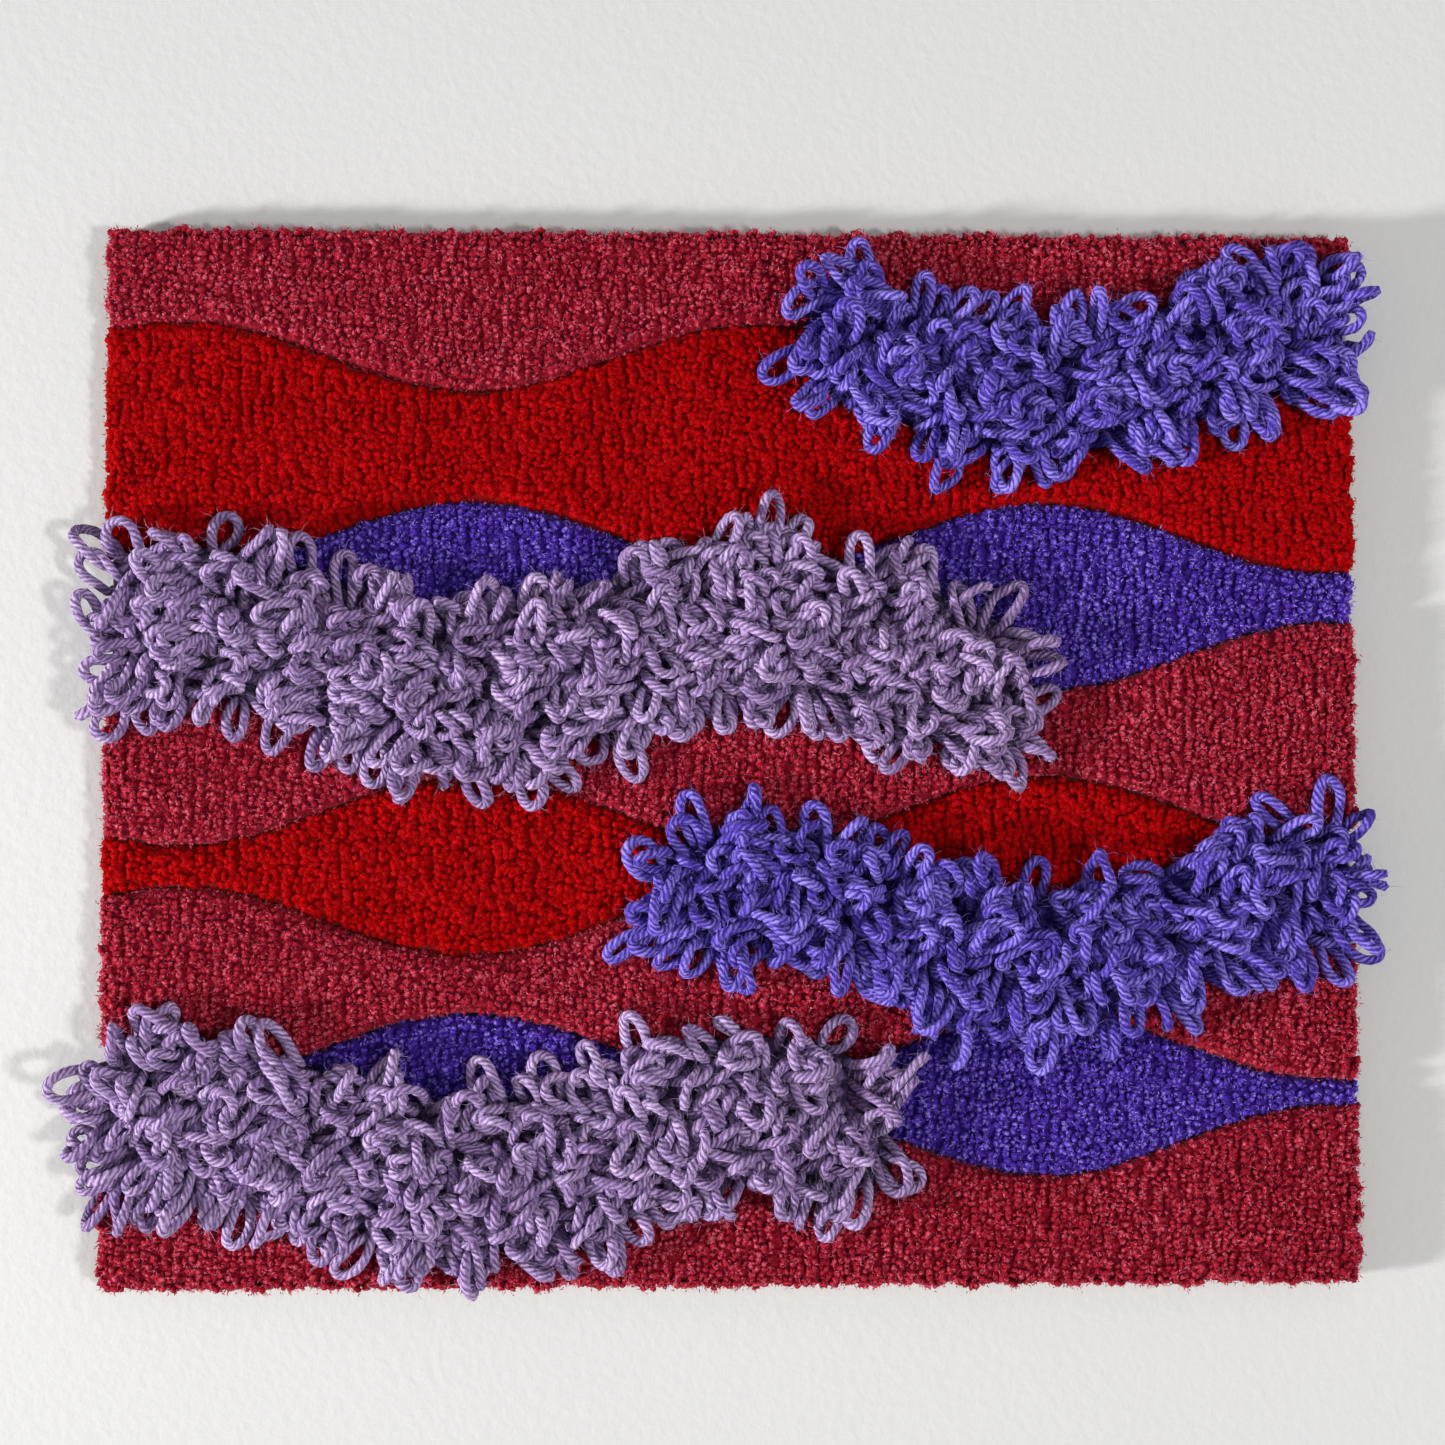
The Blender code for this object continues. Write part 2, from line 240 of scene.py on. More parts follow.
def in_cells(cells, places):
    """Places given from 0 to 1 in a cell, put into every cell of the map, cell by cell."""
    corners, size = cells
    return corners.reshape(-1, *(1,) * (places.ndim - 1), 2) + places * size


def rectangle(u0, u1, v0, v1):
    """The four corners of rectangles on a map, in the order of a face's corners."""
    u0, u1, v0, v1 = np.broadcast_arrays(u0, u1, v0, v1)
    corners = [np.stack(pair, -1) for pair in ((u0, v0), (u1, v0), (u1, v1), (u0, v1))]
    return np.stack(corners, -2)


def polygon(sides, u, v, radius_u, radius_v, turned=0.0):
    """The corners of a regular polygon on a map."""
    angles = 2 * math.pi * (np.arange(sides) + turned) / sides
    return np.stack([u + radius_u * np.cos(angles), v + radius_v * np.sin(angles)], -1)


def nodes_of(kind):
    """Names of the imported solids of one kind, pile or loops, in order."""
    return sorted(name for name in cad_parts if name.split("_")[1] == kind)


def tree_of(node_name):
    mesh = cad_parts[node_name].data
    vertices = [vertex.co.copy() for vertex in mesh.vertices]
    polygons = [tuple(polygon.vertices) for polygon in mesh.polygons]
    return BVHTree.FromPolygons(vertices, polygons)


def fronts(tree, x, z):
    """Where lines from the front meet a solid: y and the surface's direction; y is nan on a miss."""
    y = np.full(len(x), np.nan)
    normals = np.zeros((len(x), 3))
    for i in range(len(x)):
        place, normal, _, _ = tree.ray_cast(Vector((x[i], -0.2, z[i])), Vector((0, 1, 0)))
        if place is not None:
            y[i] = place.y
            normals[i] = normal
    return y, normals


# ==== materials ====

class Nodes:
    """A short way to add and join shader nodes."""

    def __init__(self, name, roughness, sheen=0.0, sheen_roughness=0.4, sheen_tint=(1, 1, 1)):
        self.material = bpy.data.materials.new(name)
        self.material.use_nodes = True
        self.tree = self.material.node_tree
        self.shader = self.tree.nodes["Principled BSDF"]
        self.shader.inputs["Roughness"].default_value = roughness
        self.shader.inputs["Specular IOR Level"].default_value = 0.05
        self.shader.inputs["Sheen Weight"].default_value = sheen
        self.shader.inputs["Sheen Roughness"].default_value = sheen_roughness
        self.shader.inputs["Sheen Tint"].default_value = (*sheen_tint, 1)

    def soften(self, share, depth, color):
        """Lets this share of the light pass through the fibres, about this deep in each colour."""
        self.shader.subsurface_method = "BURLEY"
        self.shader.inputs["Subsurface Weight"].default_value = share
        self.shader.inputs["Subsurface Radius"].default_value = color
        self.shader.inputs["Subsurface Scale"].default_value = depth

    def add(self, kind, **settings):
        node = self.tree.nodes.new(kind)
        for key, value in settings.items():
            setattr(node, key, value)
        return node

    def feed(self, socket, value):
        if hasattr(value, "is_output"):
            self.tree.links.new(value, socket)
        else:
            socket.default_value = value

    def math(self, operation, a, b=0.0, clamp=False):
        node = self.add("ShaderNodeMath", operation=operation, use_clamp=clamp)
        self.feed(node.inputs[0], a)
        self.feed(node.inputs[1], b)
        return node.outputs[0]

    def times(self, a, b):
        return self.math("MULTIPLY", a, b)

    def plus(self, a, b):
        return self.math("ADD", a, b)

    def total(self, *terms):
        """The sum of values, each times its weight."""
        parts = [self.times(*terms[0])]
        for term in terms[1:]:
            parts.append(self.plus(parts[-1], self.times(*term)))
        return parts[-1]

    def parts(self, vector):
        """The three numbers of a vector."""
        node = self.add("ShaderNodeSeparateXYZ")
        self.feed(node.inputs[0], vector)
        return tuple(node.outputs)

    def vector(self, x, y, z):
        node = self.add("ShaderNodeCombineXYZ")
        for socket, value in zip(node.inputs, (x, y, z)):
            self.feed(socket, value)
        return node.outputs[0]

    def value(self, name):
        """A number stored on the mesh."""
        return self.add("ShaderNodeAttribute", attribute_name=name).outputs["Fac"]

    def place(self):
        return self.add("ShaderNodeTexCoord").outputs["Object"]

    def noise(self, vector, scale, detail=2.0, roughness=0.5):
        node = self.add("ShaderNodeTexNoise")
        self.feed(node.inputs["Vector"], vector)
        node.inputs["Scale"].default_value = scale
        node.inputs["Detail"].default_value = detail
        node.inputs["Roughness"].default_value = roughness
        return node.outputs["Fac"]

    def ramp(self, factor, *stops):
        """A colour ramp through (position, (r, g, b)) stops, whose positions may pass 1."""
        last = max(1.0, stops[-1][0])
        stops = [(position / last, color) for position, color in stops]
        node = self.add("ShaderNodeValToRGB")
        self.feed(node.inputs[0], self.math("DIVIDE", factor, last))
        elements = node.color_ramp.elements
        while len(elements) < len(stops):
            elements.new(0.5)
        for element, (position, color) in zip(elements, stops):
            element.position = position
            element.color = (*color, 1)
        return node.outputs[0]

    def mix(self, factor, a, b):
        node = self.add("ShaderNodeMix", data_type="RGBA")
        self.feed(node.inputs[0], factor)
        self.feed(node.inputs[6], a)
        self.feed(node.inputs[7], b)
        return node.outputs[2]

    def bump(self, height, distance, strength=1.0):
        node = self.add("ShaderNodeBump")
        self.feed(node.inputs["Height"], height)
        node.inputs["Distance"].default_value = distance
        node.inputs["Strength"].default_value = strength
        self.feed(self.shader.inputs["Normal"], node.outputs[0])

    def color(self, value):
        self.feed(self.shader.inputs["Base Color"], value)


# Linear colours of the sheared yarn ends: painted shade between the tufts, the tufts' own colour,
# and pale tips that are partly paler fibres and partly a painted highlight.
PILE_COLORS = {
    "raspberry": ((0.110, 0.0008, 0.006), (0.385, 0.0115, 0.031), (0.660, 0.115, 0.180)),
    "red": ((0.150, 0.0001, 0.0003), (0.340, 0.0003, 0.0010), (0.360, 0.003, 0.006)),
    "violet": ((0.014, 0.003, 0.095), (0.072, 0.025, 0.360), (0.290, 0.195, 0.750)),
}
# Linear colours of the plied yarns: painted shade in the grooves between plies, the plies' own colour,
# and a painted highlight on their crests.
LOOP_COLORS = {
    "lilac": ((0.038, 0.017, 0.060), (0.290, 0.180, 0.410), (0.650, 0.490, 0.795)),
    "violet": ((0.012, 0.004, 0.075), (0.092, 0.051, 0.430), (0.360, 0.280, 0.880)),
}


def pile_material(yarn):
    """Sheared wool, every tuft its own tone, with painted shade between the tufts that darkens each from
    tip to foot, and paler tips that are partly a painted highlight.
    """
    painted_shade, middle, pale = PILE_COLORS[yarn]
    nodes = Nodes(f"{yarn}_pile", roughness=0.9, sheen=0.15, sheen_roughness=0.35, sheen_tint=pale)
    tip = nodes.value("tip")
    tone = nodes.value("tone")
    place = nodes.place()
    fibres = nodes.noise(place, 1100, detail=3, roughness=0.75)
    clumps = nodes.noise(place, 330, detail=2, roughness=0.6)
    patches = nodes.noise(place, 22, detail=2)
    shade = nodes.total((tone, 0.34), (fibres, 0.95), (clumps, 0.88), (patches, 0.30))
    # Painted shade: the colour darkens from each tuft's tip towards its foot, so the gaps between tufts
    # look dark.
    shade = nodes.times(shade, nodes.math("POWER", tip, TUFT_PAINTED_SHADE[yarn]))
    nodes.color(nodes.ramp(shade, (0.46, painted_shade), (0.98, middle), (1.06, middle), (1.32, pale)))
    nodes.bump(nodes.plus(fibres, clumps), distance=0.0009, strength=TUFT_GRAIN[yarn])
    if yarn == "red":
        nodes.soften(RED_GLOW, RED_GLOW_DEPTH, RED_GLOW_COLOR)
    return nodes.material


def loop_material(yarn):
    """Plied yarn: round plies that wind along the loop, with fibres that follow each ply. Painted shade
    darkens the grooves between plies and the yarn near its roots, and a painted highlight lightens the
    crests.
    """
    painted_shade, middle, pale = LOOP_COLORS[yarn]
    nodes = Nodes(f"{yarn}_loops", roughness=0.85, sheen=0.3, sheen_roughness=0.4, sheen_tint=pale)
    around, along, _ = nodes.parts(nodes.add("ShaderNodeUVMap", uv_map="yarn").outputs[0])
    place = nodes.place()
    tone = nodes.value("tone")
    wander = nodes.times(nodes.noise(place, 210, detail=2), 1.1)
    winding = nodes.plus(nodes.times(nodes.plus(around, along), float(YARN_PLIES)), wander)
    across = nodes.math("SUBTRACT", nodes.times(nodes.math("FRACT", winding), 2.0), 1.0)
    hollow = nodes.times(across, across)
    ply = nodes.math("POWER", nodes.math("SUBTRACT", 1.0, hollow, clamp=True), 1.4)
    lengthwise = nodes.vector(nodes.times(winding, 1.2), along, tone)
    streaks = nodes.noise(lengthwise, 1.8, detail=4, roughness=0.75)
    fluff = nodes.noise(place, 560, detail=4, roughness=0.75)
    clarity = nodes.times(nodes.noise(place, 150, detail=2), 0.58)
    height = nodes.plus(ply, nodes.times(nodes.plus(streaks, fluff), 0.60))
    # The ply term paints shade into the grooves between plies and a highlight onto their crests.
    shade = nodes.total((ply, clarity), (streaks, 0.75), (fluff, 0.84), (tone, 0.20))
    yarn_color = nodes.ramp(shade, (0.60, painted_shade), (1.02, middle), (1.36, pale))
    # Painted shade: the yarn is painted darker towards its roots, where neighbouring loops would shade
    # it.
    nodes.color(nodes.mix(nodes.value("root"), yarn_color, (*painted_shade, 1)))
    nodes.bump(height, distance=0.00075)
    return nodes.material


def packed_material(name, painted_shade, middle):
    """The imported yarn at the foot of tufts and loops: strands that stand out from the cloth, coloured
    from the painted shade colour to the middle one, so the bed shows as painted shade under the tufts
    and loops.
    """
    nodes = Nodes(name, roughness=0.95, sheen=0.1)
    x, y, z = nodes.parts(nodes.place())
    strands = nodes.vector(x, nodes.times(y, 0.12), z)
    fibres = nodes.noise(strands, 420, detail=4, roughness=0.7)
    # Painted shade: the bed is coloured with the dark shade colour painted between tufts and plies.
    nodes.color(nodes.ramp(fibres, (0.38, painted_shade), (0.68, middle)))
    nodes.bump(fibres, distance=0.0012)
    return nodes.material


def fibre_material(name, color):
    """Loose single fibres."""
    nodes = Nodes(name, roughness=0.8, sheen=0.2)
    darker = [c * 0.6 for c in color]
    nodes.color(nodes.mix(nodes.noise(nodes.place(), 300), (*darker, 1), (*color, 1)))
    return nodes.material


def cloth_material():
    """Plain-woven cotton cloth, sealed with a thin coat of glue."""
    nodes = Nodes("backing_cloth", roughness=0.85, sheen=0.15)
    x, _, z = nodes.parts(nodes.place())
    turn = 2 * math.pi / CLOTH_THREAD
    warp = nodes.math("SINE", nodes.times(x, turn))
    weft = nodes.math("SINE", nodes.times(z, turn))
    weave = nodes.times(warp, weft)
    slubs = nodes.noise(nodes.place(), 160, detail=4, roughness=0.6)
    stains = nodes.noise(nodes.place(), 9, detail=3)
    base = nodes.ramp(stains, (0.3, (0.56, 0.50, 0.40)), (0.75, (0.66, 0.61, 0.52)))
    shade = nodes.plus(nodes.times(weave, 0.25), slubs)
    glue = nodes.ramp(shade, (0.2, (0.5, 0.5, 0.5)), (0.9, (0, 0, 0)))
    nodes.color(nodes.mix(glue, base, (0.36, 0.31, 0.24, 1)))
    nodes.bump(nodes.plus(weave, slubs), distance=0.0004)
    return nodes.material


# ==== cut pile ====

def tuft_arrays(tips, axes, radii, depths, tones, dome, rng):
    """Vertices, faces and values of tufts: the foot, an uneven ring of yarn ends, and the tip."""
    count = len(tips)
    helper = np.where(np.abs(axes[:, :1]) > 0.8, [[0.0, 0.0, 1.0]], [[1.0, 0.0, 0.0]])
    side = unit(np.cross(axes, helper))
    other = np.cross(axes, side)
    angles = 2 * math.pi * np.arange(TUFT_SIDES) / TUFT_SIDES
    angles = angles + rng.uniform(0, 2 * math.pi, (count, 1))
    circle = np.cos(angles)[..., None] * side[:, None] + np.sin(angles)[..., None] * other[:, None]
    spread = radii[:, None] * rng.uniform(0.70, 1.34, (count, TUFT_SIDES))
    drop = dome * radii[:, None] * rng.uniform(0.30, 1.00, (count, TUFT_SIDES))
    ring = tips[:, None] - axes[:, None] * drop[..., None] + circle * spread[..., None]
    feet = tips - axes * depths[:, None]
    middles = tips + circle[:, 0] * (radii * rng.uniform(0, 0.45, count))[:, None]
    vertices = np.concatenate([feet[:, None], ring, middles[:, None]], axis=1).reshape(-1, 3)
    foot = (np.arange(count) * (TUFT_SIDES + 2))[:, None]
    i = 1 + np.arange(TUFT_SIDES)
    j = 1 + (np.arange(TUFT_SIDES) + 1) % TUFT_SIDES
    top = np.broadcast_to(foot + TUFT_SIDES + 1, (count, TUFT_SIDES))
    feet_of = np.broadcast_to(foot, (count, TUFT_SIDES))
    sides = np.stack([feet_of, foot + j, foot + i], -1).reshape(-1, 3)
    caps = np.stack([foot + i, foot + j, top], -1).reshape(-1, 3)
    share = np.concatenate([[0.0], np.full(TUFT_SIDES, 0.75), [1.0]])
    tip = np.broadcast_to(share, (count, len(share))).ravel()
    return vertices, [sides, caps], tip, np.repeat(tones, len(share))


def tuft_map(count):
    """A cell for each tuft: a disc for its cap, its sides round that, its fibres in the corners."""
    cells = map_cells(count, 1.0)
    ring = polygon(TUFT_SIDES, 0.5, 0.5, 0.29, 0.29)
    after = np.roll(ring, -1, axis=0)
    feet = polygon(TUFT_SIDES, 0.5, 0.5, 0.47, 0.47, turned=0.5)
    middle = np.full_like(ring, 0.5)
    sides = in_cells(cells, np.stack([feet, after, ring], 1))
    caps = in_cells(cells, np.stack([ring, after, middle], 1))
    corners = itertools.product((0.02, 0.98), repeat=2)
    nooks = [[[u, v], [abs(u - 0.16), v], [u, abs(v - 0.16)]] for u, v in corners]
    fibres = in_cells(cells, np.array(nooks[:PILE_FIBRES]))
    return np.concatenate([part.reshape(-1, 2) for part in (sides, caps, fibres)])


def fibre_arrays(starts, directions, lengths, width, rng):
    """Thin triangles, each a loose fibre."""
    count = len(starts)
    across = unit(np.cross(directions, rng.normal(size=(count, 3)))) * width / 2
    ends = starts + directions * lengths[:, None]
    vertices = np.stack([starts - across, starts + across, ends], 1).reshape(-1, 3)
    return vertices, np.arange(3 * count).reshape(-1, 3)


def rug_outline():
    """Edges of the cut pile: left, right, bottom and top."""
    boxes = [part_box(name) for name in nodes_of("pile")]
    left = min(low.x for low, _ in boxes)
    right = max(high.x for _, high in boxes)
    bottom = min(low.z for low, _ in boxes)
    top = max(high.z for _, high in boxes)
    return left, right, bottom, top


RUG_LEFT, RUG_RIGHT, RUG_BOTTOM, RUG_TOP = rug_outline()


def outward_lean(x, z, width):
    """How strongly a place leans out over the hanging's edges, as (x, z) from 0 to 1."""
    right = np.clip(1 - (RUG_RIGHT - x) / width, 0, 1)
    left = np.clip(1 - (x - RUG_LEFT) / width, 0, 1)
    up = np.clip(1 - (RUG_TOP - z) / width, 0, 1)
    down = np.clip(1 - (z - RUG_BOTTOM) / width, 0, 1)
    return right - left, up - down


def row_places(node_name, tree):
    """Places of tufts along rows, spread evenly over each stretch of a row that lies on the zone,
    and how far each is from the end of its stretch."""
    low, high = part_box(node_name)
    probes = np.arange(low.z - ROW_PROBE, high.z + 2 * ROW_PROBE, ROW_PROBE)
    xs, zs, ends_near = [], [], []
    for x in np.arange(RUG_LEFT + ROW_STEP / 2, RUG_RIGHT, ROW_STEP):
        if not low.x < x < high.x:
            continue
        y, _ = fronts(tree, np.full(len(probes), x), probes)
        hit = np.isfinite(y).astype(int)
        starts = np.nonzero(np.diff(hit) == 1)[0]
        ends = np.nonzero(np.diff(hit) == -1)[0]
        for i, j in zip(starts, ends):
            first, last = probes[i] + ROW_PROBE / 2, probes[j] + ROW_PROBE / 2
            count = max(2, round((last - first) / TUFT_STEP))
            stretch = np.linspace(first + SEAM_INSET, last - SEAM_INSET, count)
            zs.append(stretch)
            xs.append(np.full(count, x))
            ends_near.append(np.minimum(stretch - first, last - stretch))
    return np.concatenate(xs), np.concatenate(zs), np.concatenate(ends_near)


def front_tufts(node_name, tree, rng):
    """Tips and axes of the tufts on a zone's front."""
    yarn = node_name.split("_")[0]
    row_x, row_z, end_near = row_places(node_name, tree)
    seed = int(rng.integers(1000))
    parting = ROW_PARTING * smooth_field(seed, CLUMP_SIZE)(row_x * 1.5, row_z * 0.5)
    clumping = CLUMPING * smooth_field(seed + 1, CLUMP_SIZE)(row_x, row_z)
    x = row_x + rng.normal(0, TUFT_SCATTER, len(row_x)) + parting
    z = row_z + rng.normal(0, TUFT_SCATTER, len(row_z)) + clumping
    y, normals = fronts(tree, x, z)
    row_y, row_normals = fronts(tree, row_x, row_z)
    off = ~np.isfinite(y)
    x[off], z[off], y[off], normals[off] = row_x[off], row_z[off], row_y[off], row_normals[off]
    hit = np.isfinite(y)
    x, y, z, normals, end_near = x[hit], y[hit], z[hit], normals[hit], end_near[hit]
    lean_x, lean_z = outward_lean(x, z, EDGE_LEAN_WIDTH)
    inside = 1 - np.maximum(np.abs(lean_x), np.abs(lean_z))
    y = y + SEAM_DROP * inside * np.clip(1 - end_near / SEAM_WIDTH, 0, 1)
    axes = np.array([[0.0, -1.0, 0.0]]) + 0.55 * (normals * [1, 0, 1])
    axes[:, 0] += 0.45 * lean_x + BRUSHING * smooth_field(seed + 2, BRUSHED_PATCH)(x, z)
    axes[:, 2] += 0.45 * lean_z + BRUSHING * smooth_field(seed + 3, BRUSHED_PATCH)(x, z) - 0.04
    axes = unit(axes + rng.normal(0, 0.22, axes.shape))
    lift = TUFT_LIFT[yarn] * rng.normal(*SHEARING, len(x))
    return np.stack([x, y, z], 1) + axes * lift[:, None], axes


def rim_sides(node_name):
    """The edges of the hanging that a zone reaches, each with its outward direction in x and z."""
    low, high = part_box(node_name)
    sides = (
        (low.x < RUG_LEFT + RIM_MARGIN, RUG_LEFT, -1, 0),
        (high.x > RUG_RIGHT - RIM_MARGIN, RUG_RIGHT, 1, 0),
        (low.z < RUG_BOTTOM + RIM_MARGIN, RUG_BOTTOM, 0, -1),
        (high.z > RUG_TOP - RIM_MARGIN, RUG_TOP, 0, 1),
    )
    return [side[1:] for side in sides if side[0]]


def rim_layer(node_name, tree, edge, out_x, out_z, layer, rng):
    """Tips and axes of one layer of tufts along an edge, rooted where the zone's front is found."""
    low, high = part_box(node_name)
    start, end = (low.z, high.z) if out_x else (low.x, high.x)
    along = np.arange(start, end, RIM_STEP)
    along = along + rng.normal(0, 0.0004, len(along))
    inner = np.full(len(along), edge - (out_x + out_z) * RIM_INSET)
    x, z = (inner, along) if out_x else (along, inner)
    y, _ = fronts(tree, x, z)
    hit = np.isfinite(y)
    x, y, z = x[hit], y[hit], z[hit]
    bulge = 0.0004 + 0.0012 * math.sin(math.pi * min(1.0, layer * 1.1))
    reach = RIM_INSET - 0.0012 + bulge + rng.normal(0, 0.00065, len(y))
    reach = reach + 0.0007 * smooth_field(61, 0.011)(x, z)
    tips = np.stack([x + out_x * reach, y * layer, z + out_z * reach], 1)
    tips[:, 1] += rng.normal(0, 0.0004, len(y))
    slope = 1.25 - 0.75 * layer
    axes = np.tile([out_x * slope, -0.75, out_z * slope], (len(y), 1))
    return tips, unit(axes + rng.normal(0, 0.16, axes.shape))


def zone_tufts(node_name, rng):
    """Tips, axes and depths of a zone's tufts, on its front and round its rim."""
    tree = tree_of(node_name)
    layers = [(*front_tufts(node_name, tree, rng), TUFT_DEPTH)]
    for side, layer in itertools.product(rim_sides(node_name), RIM_LAYERS):
        layers.append((*rim_layer(node_name, tree, *side, layer, rng), RIM_DEPTH))
    tips, axes, depths = zip(*layers)
    depths = [np.full(len(tip), depth) for tip, depth in zip(tips, depths)]
    return np.concatenate(tips), np.concatenate(axes), np.concatenate(depths)


def make_bed(node_name, name, material, inset, planes=()):
    """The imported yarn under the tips: the solid drawn in a little, and cut off at these planes."""
    shape = bmesh.new()
    shape.from_mesh(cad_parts[node_name].data)
    bmesh.ops.remove_doubles(shape, verts=shape.verts, dist=1e-6)
    for point, normal in planes:
        geometry = shape.verts[:] + shape.edges[:] + shape.faces[:]
        bmesh.ops.bisect_plane(shape, geom=geometry, plane_co=point, plane_no=normal, clear_outer=True)
        bmesh.ops.holes_fill(shape, edges=shape.edges[:])
        bmesh.ops.triangulate(shape, faces=shape.faces[:])
    for vertex in shape.verts:
        lean_x, lean_z = outward_lean(vertex.co.x, vertex.co.z, EDGE_LEAN_WIDTH)
        if vertex.co.y < -BASE_DEPTH:
            vertex.co += Vector((-lean_x, 1, -lean_z)) * inset
    mesh = bpy.data.meshes.new(name)
    shape.to_mesh(mesh)
    shape.free()
    return new_piece(name, mesh, material)


def tuft_fibres(tips, axes, tones, rng):
    """The loose fibre ends on the tufts: vertices, faces and each vertex's tone."""
    starts = np.repeat(tips - axes * 0.0004, PILE_FIBRES, axis=0)
    starts = starts + rng.normal(0, TUFT_RADIUS * 0.5, starts.shape)
    directions = np.repeat(axes, PILE_FIBRES, axis=0) * 0.7 + rng.normal(0, 0.75, starts.shape)
    fibre_lengths = rng.uniform(*FIBRE_LENGTHS, len(starts))
    vertices, faces = fibre_arrays(starts, unit(directions), fibre_lengths, FIBRE_WIDTH, rng)
    tone = np.repeat(tones, PILE_FIBRES) * 0.5 + rng.uniform(0.0, 0.6, len(starts))
    return vertices, faces, np.repeat(np.clip(tone, 0, 1), 3)


def make_pile_zone(node_name, materials, seed):
    """A zone of cut pile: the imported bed, its tufts, and the loose fibre ends on them."""
    yarn = node_name.split("_")[0]
    rng = np.random.default_rng(seed)
    tips, axes, depths = zone_tufts(node_name, rng)
    count = len(tips)
    radii = TUFT_WIDTH[yarn] * TUFT_RADIUS * rng.uniform(0.82, 1.16, count)
    tones = np.clip(rng.beta(2.0, 2.6, count), 0, 1)
    vertices, faces, tip, tone = tuft_arrays(tips, axes, radii, depths, tones, TUFT_DOME[yarn], rng)
    fibre_vertices, fibre_faces, fibre_tone = tuft_fibres(tips, axes, tones, rng)
    values = {
        "tip": np.concatenate([tip, np.ones(len(fibre_vertices))]),
        "tone": np.concatenate([tone, fibre_tone]),
    }
    tufts = mesh_piece(
        node_name + "_tufts",
        before_wall(np.concatenate([vertices, fibre_vertices])),
        faces + [fibre_faces + len(vertices)],
        materials[yarn],
        values,
        {"OFBake": tuft_map(count)},
    )
    bed = make_bed(node_name, node_name + "_bed", materials[yarn + "_bed"], BED_INSET)
    dress(node_name, yarn + "_pile", tufts, bed)
    return count


def make_cut_pile():
    materials = {}
    for yarn in PILE_YARNS:
        painted_shade, middle, _ = PILE_COLORS[yarn]
        materials[yarn] = pile_material(yarn)
        materials[yarn + "_bed"] = packed_material(yarn + "_bed", painted_shade, middle)
    total = sum(make_pile_zone(name, materials, 100 + i) for i, name in enumerate(nodes_of("pile")))
    print("tufts:", total)


# ==== loops ====

class Foot:
    """The outline of a band's foot on the cloth, read from the solid's base."""

    def __init__(self, node_name):
        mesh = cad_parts[node_name].data
        places = np.array([vertex.co for vertex in mesh.vertices])
        base = places[places[:, 1] > -BASE_DEPTH]
        self.xs = np.unique(np.round(base[:, 0], 5))
        columns = [base[np.abs(base[:, 0] - x) < 2e-5][:, 2] for x in self.xs]
        self.bottoms = np.array([column.min() for column in columns])
        self.tops = np.array([column.max() for column in columns])
        self.start = self.xs[0]
        self.end = self.xs[-1]

    def bottom(self, x):
        return np.interp(x, self.xs, self.bottoms)

    def top(self, x):
        return np.interp(x, self.xs, self.tops)


def loop_roots(foot, rng):
    """Uneven rows of places for loops inside a foot's outline."""
    inset = ROOT_INSET
    xs = np.arange(foot.start + inset, foot.end - inset, LOOP_SPACING * 0.92)
    zs = np.arange(foot.bottoms.min(), foot.tops.max(), LOOP_SPACING * 1.08)
    x, z = np.meshgrid(xs, zs, indexing="ij")
    z = z + (np.arange(len(xs)) % 2)[:, None] * LOOP_SPACING * 0.54
    x = (x + rng.normal(0, LOOP_SPACING * 0.14, x.shape)).ravel()
    z = (z + rng.normal(0, LOOP_SPACING * 0.14, z.shape)).ravel()
    inside = (z > foot.bottom(x) + inset) & (z < foot.top(x) - inset)
    inside &= (x > foot.start + inset * 0.5) & (x < foot.end - inset * 0.5)
    return x[inside], z[inside]


def nearness(distance, reach):
    """1 at an edge, falling to nothing within a few times this reach."""
    return steady(np.exp, -np.maximum(distance, 0) / reach)


def border_push(foot, x, z):
    """Which way, and how strongly, loops at the border of a foot are pushed out by the others."""
    reach = BORDER_REACH
    push_x = nearness(foot.end - x, reach) - nearness(x - foot.start, reach)
    push_z = nearness(foot.top(x) - z, reach) - nearness(z - foot.bottom(x), reach)
    return push_x, push_z


def spines(heading, swerve, first, last):
    """Curves of length 1 that rise from the cloth, bend over and swerve: their points, the moves
    from point to point, and the directions across them."""
    s = (np.arange(SPINE_STEPS) + 0.5) / SPINE_STEPS
    bend = first[:, None] + (last - first)[:, None] * steady(np.power, s, 0.9)
    toward = heading[:, None] + swerve[:, None] * s
    flat = np.sin(bend)
    moves = np.stack([flat * np.cos(toward), -np.cos(bend), flat * np.sin(toward)], -1) / SPINE_STEPS
    spine = np.concatenate([np.zeros((len(moves), 1, 3)), np.cumsum(moves, 1)], 1)
    across = np.stack([-np.sin(toward), np.zeros_like(toward), np.cos(toward)], -1)
    return spine, moves, across


